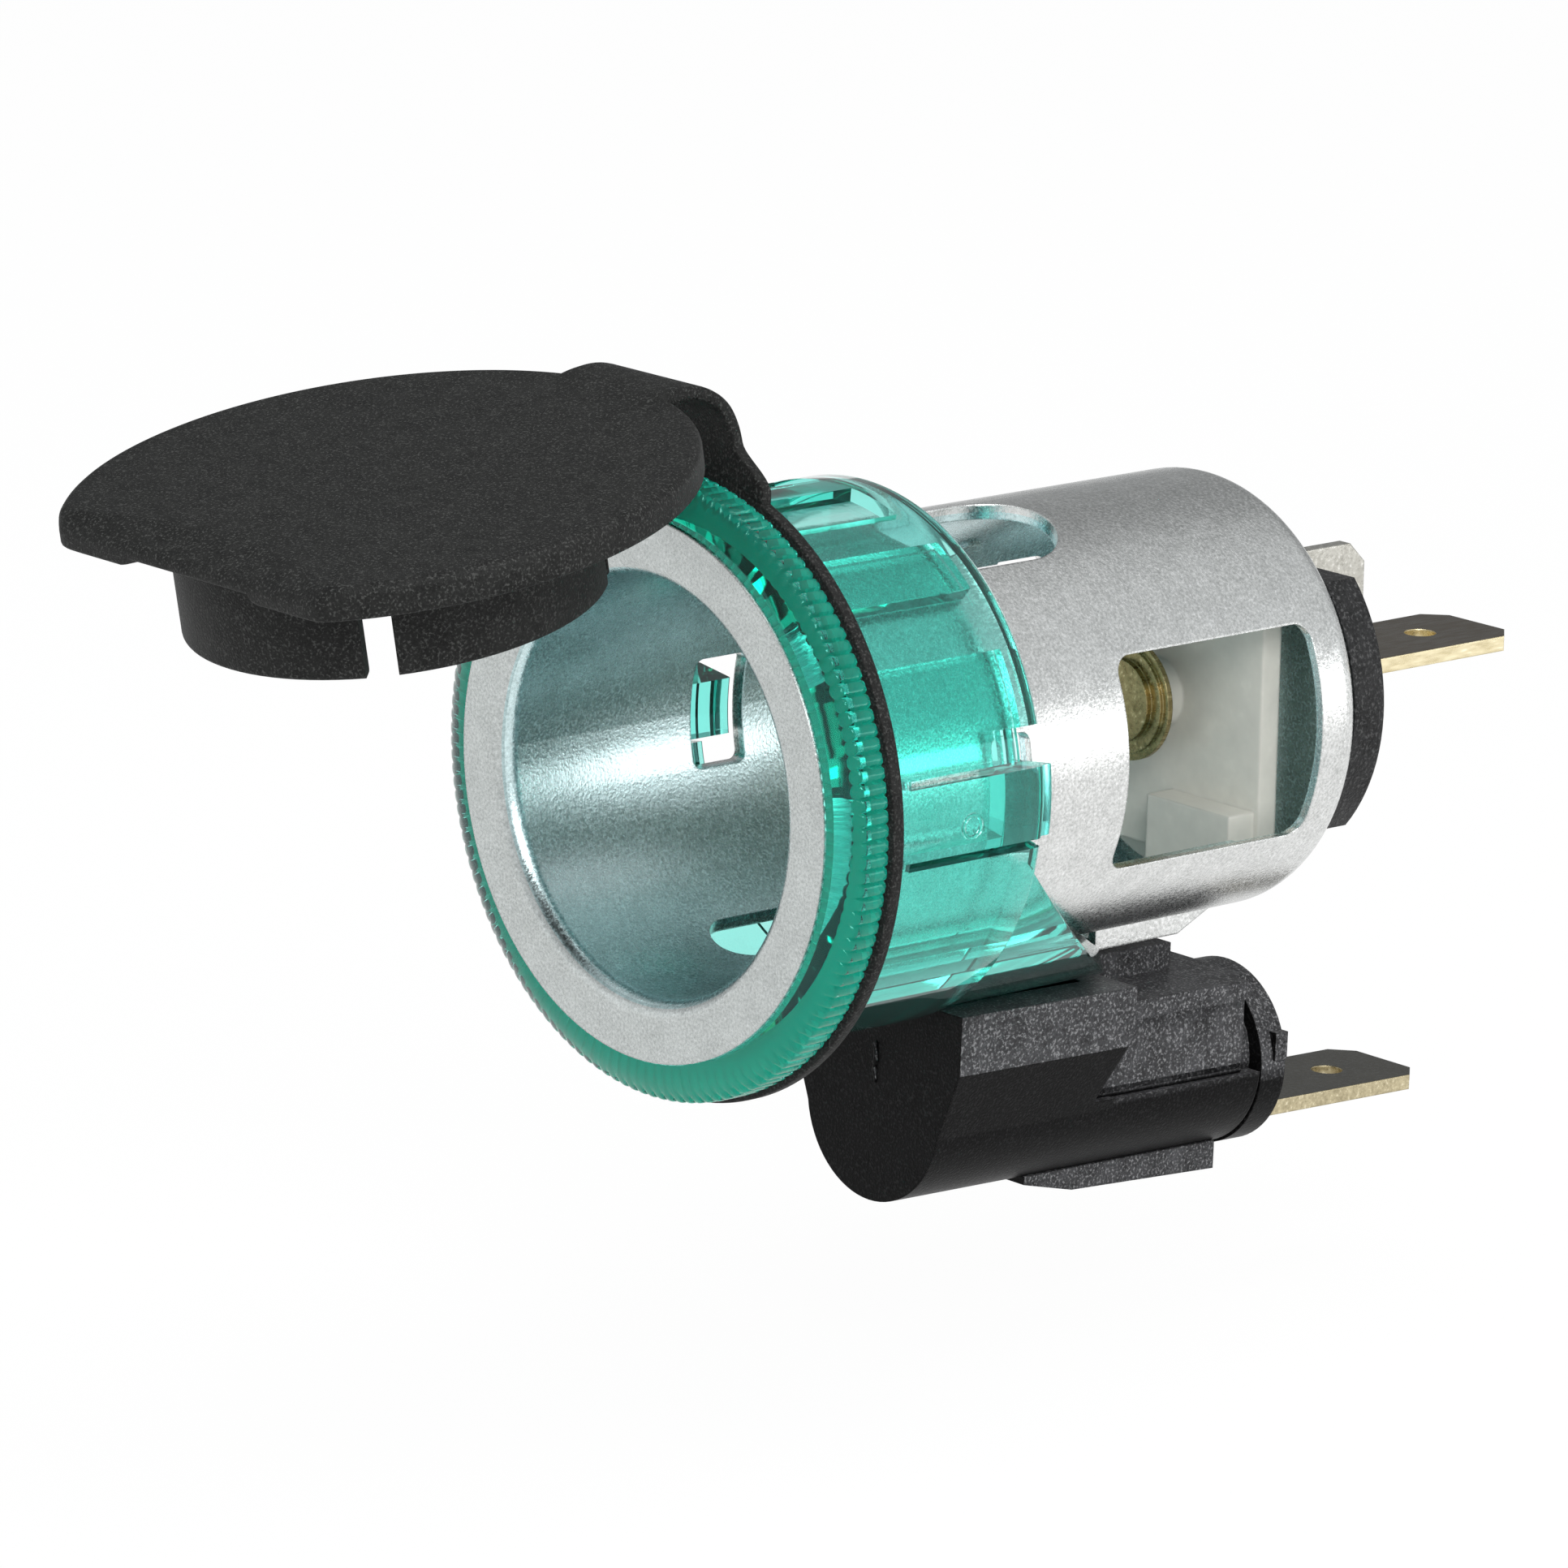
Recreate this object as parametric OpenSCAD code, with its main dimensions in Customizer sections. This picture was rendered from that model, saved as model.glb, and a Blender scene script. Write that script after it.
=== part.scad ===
// Panel socket for a round twelve volt plug, with a lit ring, a lamp holder and a tethered lid.
// The socket axis is Y. The mouth faces -Y, the terminals point to +Y and +Z is up.
// The origin is on that axis, in the plane where the cover ring meets the front of the panel.
// Sizes along Y are written from the mouth, and seat_frame moves each node to the origin.

/* [Shell] */
// Outer radius of the drawn steel shell
shell_r = 11.5; // [11.4:0.05:11.55]
// Sheet thickness of the shell
shell_wall = 0.8; // [0.7:0.05:0.9]
// Length from the mouth to the back face
shell_length = 39; // [38.6:0.1:39.4]
// How far the flat steel rim stands out from the shell
rim_lip = 2.4; // [2.1:0.05:2.5]
// Thickness of the steel rim
rim_t = 0.9; // [0.8:0.05:1]
// Half height of the two side windows
window_half = 5.55; // [5:0.05:5.8]
// Front edge of the side windows
window_front = 22.5; // [22:0.1:24]

/* [Light ring] */
// Air gap between the shell and the clear tube
tube_gap = 0.8; // [0.7:0.05:0.9]
// Wall of the clear tube, whose outside fits the panel hole
tube_wall = 1.7; // [1.6:0.05:1.75]
// Length of the clear tube behind the mouth
tube_rear = 14.5; // [14:0.1:15]
// How far the clear flange stands out from the tube
flange_lip = 2; // [1.8:0.05:2.2]
// Teeth around the back of the flange
tooth_count = 138; // [120:1:150]
// Depth of a tooth
tooth_depth = 0.32; // [0.2:0.02:0.4]
// Rear end of the light guide tongue
tongue_rear = 27; // [25.5:0.1:27.4]

/* [Lid and cover ring] */
// How far the soft cover ring stands out from the clear flange
ring_lip = 1; // [0.8:0.05:1.1]
// Thickness of the cover ring
ring_t = 0.7; // [0.6:0.05:0.8]
// Radius of the lid disc
lid_r = 15.7; // [15.5:0.05:15.9]
// Thickness of the lid disc
lid_t = 1.2; // [1:0.05:1.4]
// Play of the plug ring under the lid in the mouth
skirt_gap = 0.25; // [0.2:0.05:0.6]
// Depth of the plug ring below the top of the lid
skirt_depth = 6.5; // [5.5:0.1:6.8]
// Width of the hinge strap
strap_w = 7.4; // [6.5:0.1:8]
// Thickness of the hinge strap
strap_t = 0.7; // [0.6:0.05:0.8]

/* [Terminals] */
// Width of a blade terminal
blade_w = 6.3; // [6.2:0.05:6.35]
// Thickness of a blade terminal
blade_t = 0.8; // [0.75:0.05:0.85]
// How far the two main blades stand out behind the board
blade_reach = 12.5; // [10.5:0.1:13]

/* [Lamp holder] */
// Radius of the lower half of the lamp hood
hood_r = 5.05; // [5:0.05:5.15]
// Half width of the upper part of the lamp hood
hood_half = 6.5; // [6.4:0.05:6.7]
// Wall of the lamp hood
hood_wall = 1; // [0.9:0.05:1.05]
// Rear end of the lamp blade, behind the hood front
lamp_blade_rear = 36.7; // [34:0.1:37]
// Radius of the bulb glass
bulb_r = 2.7; // [2.5:0.05:2.8]

/* [Hidden] */
$fn = 96;
bore_r = shell_r - shell_wall;
mouth_round = 1;
heel_round = 1.5;
past = 1;
run_gap = 0.3;
snug_gap = 0.05;
far = 3 * shell_length;
shell_floor = shell_length - shell_wall;
relief = 0.3;
relief_front = shell_length - 7;
rim_r = shell_r + rim_lip;
tube_inner = shell_r + tube_gap;
tube_r = tube_inner + tube_wall;
flange_r = tube_r + flange_lip;
ring_r = flange_r + ring_lip;
skirt_r = bore_r - skirt_gap;
window_rear = shell_length - 3;
window_corner = 1;
latch_half = 2.9;
latch_front = 12.4;
latch_rear = 15.9;
top_slot_angle = 12.2;
top_slot_half = 3.45;
top_slot_front = 13;
top_slot_rear = 24.4;
low_slot_angle = 20;
low_slot_half = 1.75;
low_slot_front = 8.4;
low_slot_rear = 19;
back_hole_r = 4.9;
grip_bump_r = 1.25;
grip_bump_rise = 0.2;
grip_bump_back = 10.1;
grip_bump_y = shell_length - grip_bump_back;
grip_bump_angle = 37;
bridge_half = 2;
bridge_length = 8;
bridge_rear = shell_length - 1.6;
bridge_front = bridge_rear - bridge_length;
bridge_ramp = 2.2;
bridge_drop = 1.05;
bridge_t = 0.6;
flange_back = 2.5;
seat_y = flange_back + ring_t;
flange_front_full = 1.5;
tooth_front = flange_back - 1.15;
tooth_depth_in = 1.4;
neck_r = tube_r - 0.35;
tongue_r = tube_r - 0.3;
tube_seat_rear = 4;
tube_seat_r = shell_r + snug_gap;
guide_pads = [[26.5, 40.5], [56, 82.4]];
guide_rear = tube_rear - 0.5;
notch_angle = 77.5;
end_notch_half = 0.95;
end_notch_front = tube_rear - 1.6;
finger_half = 1.85;
finger_slit = 0.45;
finger_front = 5.7;
finger_rear = 15.3;
hook_r = shell_r - 0.5;
tongue_cut_r = 38.2;
tongue_cut_y = 42.7;
tongue_cut_z = tube_r + 8.2;
tongue_top = 3.5;
lamp_y = 16;
foot_half = 3.2;
foot_drop = 0.9;
foot_front = lamp_y + 2.6;
foot_length = 7;
tilt = 10.6;
lid_y = -(lid_r + 1.2);
lid_z = ring_r + 1;
rim_drop = 0.45;
rim_w = 1.5;
lid_chord = -12.1;
notch_half = 5;
skirt_wall = 1.2;
slot_w = 1.6;
slot_turn = 42.5;
strap_y = 0;
strap_z = ring_r + 0.6;
strap_outer = 3.2;
strap_root_angle = 6;
tab_half = 5.9;
tab_z = ring_r + 0.05;
plate_r = shell_r - 1.6;
plate_t = 2.1;
plate_half = 6.6;
plate_front = shell_length + blade_t;
plate_rear = plate_front + plate_t;
blade_rear = plate_rear + blade_reach;
blade_nose = 1.1;
blade_hole_r = 0.85;
blade_hole_back = 4.2;
plus_x = 4;
plus_z = 1.5;
minus_x = -5;
minus_z = 1.6;
minus_plate_r = shell_r - 2.7;
minus_plate_side = 5.5;
minus_plate_half = 7;
lug_side = 2.4;
lug_low = 2.2;
boss_r = 4.55;
insulator_depth = 3.8;
insulator_front = shell_length - insulator_depth;
insulator_cheek = 2.95;
insulator_side = bore_r - insulator_cheek;
insulator_play = 0.75;
insulator_plate_t = 1.25;
insulator_core = 5.4;
step_edge = 2.5;
step_z = bore_r - step_edge;
step_side = 5;
step_w = 6.2;
pad_side = 1.3;
pad_inset = 1.6;
step_depth = 1.7;
pad_z = 4.9;
pad_rise = 1.8;
contact_r = 3.25;
contact_seat = 5.8;
contact_t = 0.85;
contact_rear = shell_length - contact_seat;
contact_front = contact_rear - contact_t;
rivet_r = 1.2;
rivet_front = contact_front + 0.5;
lamp_z = -(tube_r + 5);
lamp_tilt = -1.5;
hood_top = 6;
hood_shoulder = 2.9;
sleeve_rear = 12.1;
sleeve_slant = 1.43;
trough_rear = 22.6;
saddle_r = tongue_r + snug_gap;
inner_r = hood_r - hood_wall;
collar_r = 4.85;
collar_drop = 0.35;
collar_front = trough_rear + run_gap;
collar_rear = collar_front + 1.7;
cap_wall = 0.3;
cap_r = bulb_r + snug_gap + cap_wall;
cap_front = 11.4;
cap_rear = 17;
bulb_front = 5.2;
glass_wall = 0.5;
stem_front = 9.8;
filament_y = 6.6;
tip_pocket_r = 1.2;
tip_pocket_depth = 1.4;
lead_x = 0.8;
lead_r = 0.15;
carrier_top = 5.05;
spring_w = 2.4;
spring_t = 0.3;
spring_front = 12.6;
lamp_blade_z = -3.1;
lamp_neck = 2.6;
lamp_neck_front = cap_rear + 0.5;
key_half = 1.7;
key_front = 13.4;
key_rear = 18.9;
key_top = 6.45;

module seat_frame() {
    translate([0, -seat_y, 0])
    children();
}

module along_y() {
    rotate([-90, 0, 0])
    children();
}

module tube_y(outer, inner, front, rear) {
    translate([0, front, 0])
    along_y()
    difference() {
        cylinder(r = outer, h = rear - front);
        translate([0, 0, -past])
        cylinder(r = inner, h = rear - front + 2 * past);
    }
}

module disc_y(radius, front, rear) {
    translate([0, front, 0])
    along_y()
    cylinder(r = radius, h = rear - front);
}

module revolve_y(points) {
    rotate([-90, 0, 0])
    rotate([0, 0, 180])
    rotate_extrude($fn = 128)
    polygon(points);
}

module obround(half, front, rear) {
    translate([0, front + half])
    circle(r = half, $fn = 48);
    translate([0, rear - half])
    circle(r = half, $fn = 48);
    translate([-half, front + half])
    square([2 * half, rear - front - 2 * half]);
}

module soft_box(half, front, rear, corner) {
    translate([-half, front + corner])
    square([2 * half, rear - front - 2 * corner]);
    translate([-half + corner, front])
    square([2 * half - 2 * corner, rear - front]);
    for (side = [-1, 1])
        for (end = [front + corner, rear - corner])
            translate([side * (half - corner), end])
            circle(r = corner, $fn = 32);
}

// Cuts a flat outline through one wall of the shell, at an angle from +Z towards +X.
module wall_cut(angle, from_r, to_r) {
    rotate([0, angle, 0])
    translate([0, 0, from_r])
    linear_extrude(to_r - from_r)
    children();
}

module shell() {
    arc_steps = 12;
    mouth_arc = [for (i = [0:arc_steps]) [bore_r + mouth_round - mouth_round * cos(90 * i / arc_steps), mouth_round - mouth_round * sin(90 * i / arc_steps)]];
    heel_arc = [for (i = [0:arc_steps]) [shell_r - heel_round + heel_round * cos(90 * i / arc_steps), shell_length - heel_round + heel_round * sin(90 * i / arc_steps)]];
    inner_heel = heel_round - shell_wall;
    deep_r = bore_r + relief;
    inner_arc = [for (i = [0:arc_steps]) [deep_r - inner_heel + inner_heel * sin(90 * i / arc_steps), shell_floor - inner_heel + inner_heel * cos(90 * i / arc_steps)]];
    outline = concat(mouth_arc, [[rim_r, 0], [rim_r, rim_t], [shell_r, rim_t]], heel_arc, [[back_hole_r, shell_length], [back_hole_r, shell_floor]], inner_arc, [[deep_r, relief_front], [bore_r, relief_front]]);
    color([0.75, 0.77, 0.78])
    seat_frame() {
        difference() {
            union() {
                revolve_y(outline);
                bridge_block(0);
            }
            for (side = [90, -90]) {
                wall_cut(side, bore_r - 2, shell_r + past)
                soft_box(window_half, window_front, window_rear, window_corner);
                wall_cut(side, bore_r - 2, shell_r + past)
                soft_box(latch_half, latch_front, latch_rear, 0.5);
            }
            wall_cut(top_slot_angle, bore_r - 2, shell_r + past)
            obround(top_slot_half, top_slot_front, top_slot_rear);
            wall_cut(180 + low_slot_angle, bore_r - 2, shell_r + past)
            obround(low_slot_half, low_slot_front, low_slot_rear);
            bridge_block(bridge_t);
        }
        grip_bump();
    }
}

// The lanced bridge under the shell, as an outer block and the hollow inside it.
module bridge_block(inset) {
    low = -(shell_r + bridge_drop - inset);
    high = inset > 0 ? -(bore_r - 2) : -(bore_r + 0.35);
    profile = [[bridge_front + (inset > 0 ? -past : 0), high], [bridge_front + (inset > 0 ? -past : 0), low], [bridge_rear - bridge_ramp - inset * 0.4, low], [bridge_rear - inset, low + bridge_drop + (inset > 0 ? -inset : 0)], [bridge_rear - inset, high]];
    half = inset > 0 ? bridge_half - 0.01 : bridge_half;
    cut_half = inset > 0 ? bridge_half - inset : half;
    translate([-cut_half, 0, 0])
    rotate([90, 0, 90])
    linear_extrude(2 * cut_half)
    polygon(profile);
}

module grip_bump() {
    rotate([0, grip_bump_angle - 90, 0])
    translate([0, grip_bump_y, bore_r - grip_bump_rise])
    cylinder(r = grip_bump_r, h = grip_bump_rise + shell_wall / 2, $fn = 40);
}

module light_ring() {
    dome_steps = 12;
    dome = [for (i = [0:dome_steps]) [rim_r + snug_gap + (flange_r - tooth_depth - rim_r - snug_gap) * sin(90 * i / dome_steps), flange_front_full - (flange_front_full - 0.1) * cos(90 * i / dome_steps)]];
    outline = concat([[tube_seat_r, rim_t], [rim_r + snug_gap, rim_t]], dome, [[flange_r - tooth_depth, flange_back], [neck_r, flange_back], [neck_r, seat_y], [tube_r, seat_y], [tube_r, tube_rear], [tube_inner, tube_rear], [tube_inner, tube_seat_rear], [tube_seat_r, tube_seat_rear]]);
    color([0.1, 0.72, 0.6, 0.5])
    seat_frame() {
        difference() {
            union() {
                revolve_y(outline);
                toothed_edge();
                tongue();
                for (pad = guide_pads)
                    for (side = [-1, 1])
                        sector(side * pad[0], side * pad[1])
                        tube_y(tube_inner + 0.2, tube_seat_r, tube_seat_rear - 0.1, guide_rear);
            }
            for (side = [-1, 1])
                wall_cut(side * notch_angle, tube_inner - past, tube_r + past)
                soft_box(end_notch_half, end_notch_front, tube_rear + past, 0.4);
            for (side = [90, -90])
                for (edge = [-1, 1])
                    wall_cut(side, tube_inner - past, tube_r + past)
                    translate([edge * (finger_half + finger_slit / 2) - finger_slit / 2, finger_front])
                    square([finger_slit, tube_rear - finger_front + past]);
        }
        for (side = [90, -90])
            snap_finger(side);
    }
}

// Keeps the part of a tube that lies between two angles, both from +Z towards +X.
module sector(from_angle, to_angle) {
    reach = 2 * tube_r;
    intersection() {
        children();
        rotate([0, from_angle, 0])
        rotate([-90, 0, 0])
        linear_extrude(far)
        polygon([[0, 0], [0, -reach], [reach * tan(to_angle - from_angle), -reach]]);
    }
}

module toothed_edge() {
    ring_points = [for (i = [0:2 * tooth_count - 1]) let (reach = i % 2 == 0 ? flange_r : flange_r - tooth_depth) [reach * cos(180 * i / tooth_count), reach * sin(180 * i / tooth_count)]];
    translate([0, tooth_front, 0])
    along_y()
    linear_extrude(flange_back - tooth_front)
    difference() {
        polygon(ring_points);
        circle(r = flange_r - tooth_depth_in);
    }
}

module tongue() {
    difference() {
        union() {
            tube_y(tongue_r, tube_inner, tube_rear - 0.2, tongue_rear);
            translate([-foot_half, foot_front, -tongue_r - foot_drop])
            cube([2 * foot_half, foot_length, foot_drop + 0.9]);
        }
        translate([-tube_r - past, tongue_cut_y, tongue_cut_z])
        rotate([0, 90, 0])
        cylinder(r = tongue_cut_r, h = 2 * tube_r + 2 * past, $fn = 256);
        translate([-tube_r - past, tube_rear - past, -tongue_top])
        cube([2 * tube_r + 2 * past, tongue_rear, 2 * tube_r]);
    }
}

module snap_finger(side) {
    difference() {
        union() {
            wall_cut(side, hook_r, tube_inner + 0.4)
            translate([-finger_half, latch_front + run_gap])
            square([2 * finger_half, latch_rear - latch_front - 2 * run_gap]);
            wall_cut(side, tube_inner - 0.2, tube_r)
            translate([-finger_half, tube_rear - 0.2])
            square([2 * finger_half, finger_rear - tube_rear + 0.2]);
        }
        tube_y(tube_r + 3, tongue_r, 0, tube_rear + 5);
    }
}

// A flat soft ring, thinner at the hole, where it clips into the neck behind the flange.
module cover_ring() {
    color([0.09, 0.09, 0.1])
    seat_frame()
    difference() {
        translate([0, flange_back, 0])
        along_y()
        linear_extrude(ring_t)
        difference() {
            union() {
                circle(r = ring_r, $fn = 128);
                polygon([[-tab_half, -ring_r + 1.6], [-strap_w / 2, -tab_z], [strap_w / 2, -tab_z], [tab_half, -ring_r + 1.6]]);
            }
            circle(r = neck_r + snug_gap, $fn = 128);
        }
        disc_y(tube_r + run_gap, flange_back + ring_t / 2, seat_y + past);
    }
}

module hinge_strap() {
    strap_inner = strap_outer - strap_t;
    root = strap_root_angle + 90;
    edge_y = lid_r * cos(tilt) + lid_y;
    color([0.09, 0.09, 0.1])
    seat_frame()
    translate([-strap_w / 2, 0, 0])
    rotate([90, 0, 90])
    linear_extrude(strap_w)
    difference() {
        union() {
            translate([strap_y, strap_z])
            circle(r = strap_outer);
            translate([edge_y - 0.35, strap_z + strap_inner - 0.2])
            square([strap_y - edge_y + 0.35, strap_t + 0.2]);
        }
        translate([strap_y, strap_z])
        circle(r = strap_inner);
        translate([-20, strap_z - 10])
        square([20 + strap_y, 10 + strap_inner - 0.2]);
        translate([strap_y - 1, strap_z - 10])
        square([10, 10 + strap_outer * sin(strap_root_angle)]);
        lid_shadow();
    }
}

// Outline of the lid in side view, which the strap must not enter.
module lid_shadow() {
    translate([lid_y, lid_z])
    rotate([0, 0, tilt])
    translate([-lid_r, -6])
    square([2 * lid_r, 6]);
}

module lid() {
    color([0.09, 0.09, 0.1])
    seat_frame()
    translate([0, lid_y, lid_z])
    rotate([tilt, 0, 0])
    union() {
        lid_plate();
        lid_rim();
        lid_skirt();
    }
}

// The flat disc, cut straight at the free end, with a worn bevel on that edge.
module lid_plate() {
    bevel_start = lid_chord + 1.1;
    intersection() {
        translate([0, 0, -4])
        cylinder(r = lid_r, h = 5, $fn = 128);
        translate([-lid_r, 0, 0])
        rotate([90, 0, 90])
        linear_extrude(2 * lid_r)
        polygon([[lid_chord, -0.35], [bevel_start, 0], [lid_r, 0], [lid_r, -lid_t], [lid_chord, -lid_t]]);
    }
}

// The lip under the edge of the disc, left out in the middle of the free end for a finger.
module lid_rim() {
    lip = lid_t + rim_drop;
    difference() {
        intersection() {
            translate([0, 0, -lip])
            cylinder(r = lid_r, h = rim_drop + 0.1, $fn = 128);
            translate([-lid_r, lid_chord, -lip])
            cube([2 * lid_r, 2 * lid_r, lip]);
        }
        intersection() {
            translate([0, 0, -lip - past])
            cylinder(r = lid_r - rim_w, h = rim_drop + past, $fn = 128);
            translate([-lid_r, lid_chord + rim_w, -lip - past])
            cube([2 * lid_r, 2 * lid_r, rim_drop + past]);
        }
        translate([-notch_half, lid_chord - past, -lip - past])
        cube([2 * notch_half, rim_w + 2 * past, rim_drop + past]);
    }
}

// The ring that plugs the mouth, in four springy quarters.
module lid_skirt() {
    difference() {
        translate([0, 0, -skirt_depth])
        cylinder(r = skirt_r, h = skirt_depth - 0.1);
        translate([0, 0, -skirt_depth - past])
        cylinder(r = skirt_r - skirt_wall, h = skirt_depth + past - lid_t);
        for (turn = [0, 90, 180, 270])
            rotate([0, 0, turn - slot_turn])
            translate([skirt_r - skirt_wall - past, -slot_w / 2, -skirt_depth - past])
            cube([skirt_wall + 2 * past, slot_w, skirt_depth - lid_t - rim_drop + past]);
    }
}

module insulator() {
    color([0.92, 0.92, 0.88])
    seat_frame() {
        difference() {
            union() {
                intersection() {
                    disc_y(bore_r - insulator_play, insulator_front, insulator_front + insulator_plate_t);
                    translate([-insulator_side, 0, -bore_r])
                    cube([2 * insulator_side, far, 2 * bore_r]);
                }
                intersection() {
                    disc_y(bore_r - insulator_play, insulator_front, shell_floor);
                    translate([-insulator_core, 0, -bore_r])
                    cube([2 * insulator_core, far, 2 * bore_r]);
                }
                disc_y(boss_r, shell_floor - 0.1, plate_front);
                disc_y(rivet_r + 0.7, contact_rear, insulator_front + 0.1);
                intersection() {
                    disc_y(bore_r - insulator_play, insulator_front - pad_rise, insulator_front + 0.1);
                    translate([pad_side, 0, -bore_r])
                    cube([insulator_side - pad_inset, far, bore_r - pad_z]);
                }
            }
            disc_y(rivet_r + snug_gap, 0, far);
            translate([-step_side, insulator_front - past, -bore_r - past])
            cube([step_w, step_depth + past, bore_r + past - step_z]);
        }
    }
}

module centre_contact() {
    color([0.72, 0.58, 0.3])
    seat_frame()
    difference() {
        union() {
            disc_y(contact_r, contact_rear - 0.3, contact_rear);
            disc_y(contact_r - 0.4, contact_rear - 0.5, contact_rear);
            disc_y(contact_r - 1.05, contact_front, contact_rear);
        }
        disc_y(rivet_r + snug_gap, rivet_front, contact_rear + past);
    }
}

module centre_rivet() {
    color([0.72, 0.58, 0.3])
    seat_frame()
    difference() {
        union() {
            disc_y(rivet_r, rivet_front, plate_rear + blade_t + 0.1);
            disc_y(rivet_r + 0.7, plate_rear + blade_t, plate_rear + blade_t + 0.7);
        }
        translate([-past, plate_rear + blade_t, plus_z - blade_t / 2 - 0.1])
        cube([4, 2, 3]);
    }
}

module rear_plate() {
    color([0.09, 0.09, 0.1])
    seat_frame()
    difference() {
        intersection() {
            disc_y(plate_r, plate_front, plate_rear);
            translate([-far, 0, -plate_half])
            cube([2 * far, far, 2 * plate_half]);
        }
        disc_y(rivet_r + snug_gap, 0, far);
        translate([minus_x - blade_t / 2 - snug_gap, plate_front - past, minus_z - blade_w / 2 - snug_gap])
        cube([blade_t + 2 * snug_gap, plate_rear - plate_front + 2 * past, blade_w + 2 * snug_gap]);
    }
}

// Flat outline of a blade end, from the root to the bevelled tip, with its hole.
module blade_outline(root, tip) {
    half = blade_w / 2;
    difference() {
        polygon([[-half, root], [-half, tip - blade_nose], [-half + blade_nose, tip], [half - blade_nose, tip], [half, tip - blade_nose], [half, root]]);
        translate([0, tip - blade_hole_back])
        circle(r = blade_hole_r, $fn = 32);
    }
}

module plus_terminal() {
    color([0.72, 0.58, 0.3])
    seat_frame()
    difference() {
        union() {
            translate([plus_x, 0, plus_z - blade_t / 2])
            linear_extrude(blade_t)
            blade_outline(plate_rear, blade_rear);
            translate([-lug_side, plate_rear, -lug_low])
            cube([plus_x + blade_w / 2 + lug_side, blade_t, plus_z + blade_t / 2 + lug_low]);
        }
        disc_y(rivet_r + snug_gap, 0, far);
    }
}

module minus_terminal() {
    color([0.8, 0.79, 0.75])
    seat_frame()
    difference() {
        union() {
            translate([minus_x + blade_t / 2, 0, minus_z])
            rotate([0, -90, 0])
            linear_extrude(blade_t)
            blade_outline(shell_length, blade_rear);
            intersection() {
                disc_y(minus_plate_r, shell_length, plate_front);
                translate([-minus_plate_r, 0, -minus_plate_half])
                cube([minus_plate_r + minus_plate_side, far, 2 * minus_plate_half]);
            }
        }
        disc_y(boss_r + snug_gap, 0, plate_front + 0.01);
    }
}

module lamp_place() {
    translate([0, lamp_y, lamp_z])
    rotate([lamp_tilt, 0, 0])
    children();
}

module hood_section() {
    circle(r = hood_r, $fn = 72);
    polygon([[-hood_half, -hood_top], [hood_half, -hood_top], [hood_half, -hood_shoulder], [hood_r * 0.98, 0.9], [-hood_r * 0.98, 0.9], [-hood_half, -hood_shoulder]]);
}

module lamp_hood() {
    color([0.09, 0.09, 0.1])
    seat_frame()
    difference() {
        lamp_place()
        hood_body();
        disc_y(saddle_r, -1, tongue_rear + run_gap);
    }
}

module hood_body() {
    rail_half = 2.4;
    difference() {
        union() {
            along_y()
            linear_extrude(sleeve_rear)
            hood_section();
            intersection() {
                disc_y(hood_r, 0, trough_rear);
                translate([-20, 0, -20])
                cube([40, 60, 19.7]);
            }
            translate([-rail_half, 0, 0])
            rotate([90, 0, 90])
            linear_extrude(2 * rail_half)
            polygon([[8.6, -hood_r + 0.5], [8.6, -hood_r + 0.05], [12, -5.75], [22.1, -6.05], [22.1, -hood_r + 0.5]]);
        }
        disc_y(inner_r, 1.2, trough_rear + past);
        translate([-inner_r, 1.8, 0])
        cube([2 * inner_r, 8.6, hood_top + past]);
        translate([-inner_r, 9, 0])
        cube([2 * inner_r, 20, inner_r]);
        translate([-hood_half - past, 0, 0])
        rotate([90, 0, 90])
        linear_extrude(2 * hood_half + 2 * past)
        polygon([[sleeve_rear, 4], [sleeve_rear - sleeve_slant * 1.05, -0.2], [sleeve_rear + past, -0.2], [sleeve_rear + past, 4]]);
    }
}

module lamp_ground_spring() {
    strip_half = spring_w / 2;
    color([0.78, 0.7, 0.45])
    seat_frame()
    lamp_place()
    translate([-strip_half, 0, 0])
    rotate([90, 0, 90])
    linear_extrude(spring_w)
    polygon([[spring_front, cap_r + 0.02], [spring_front + spring_t, cap_r + 0.02], [spring_front + spring_t, carrier_top], [key_front - 0.1, carrier_top], [key_front - 0.1, carrier_top + spring_t], [spring_front, carrier_top + spring_t]]);
}

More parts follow.
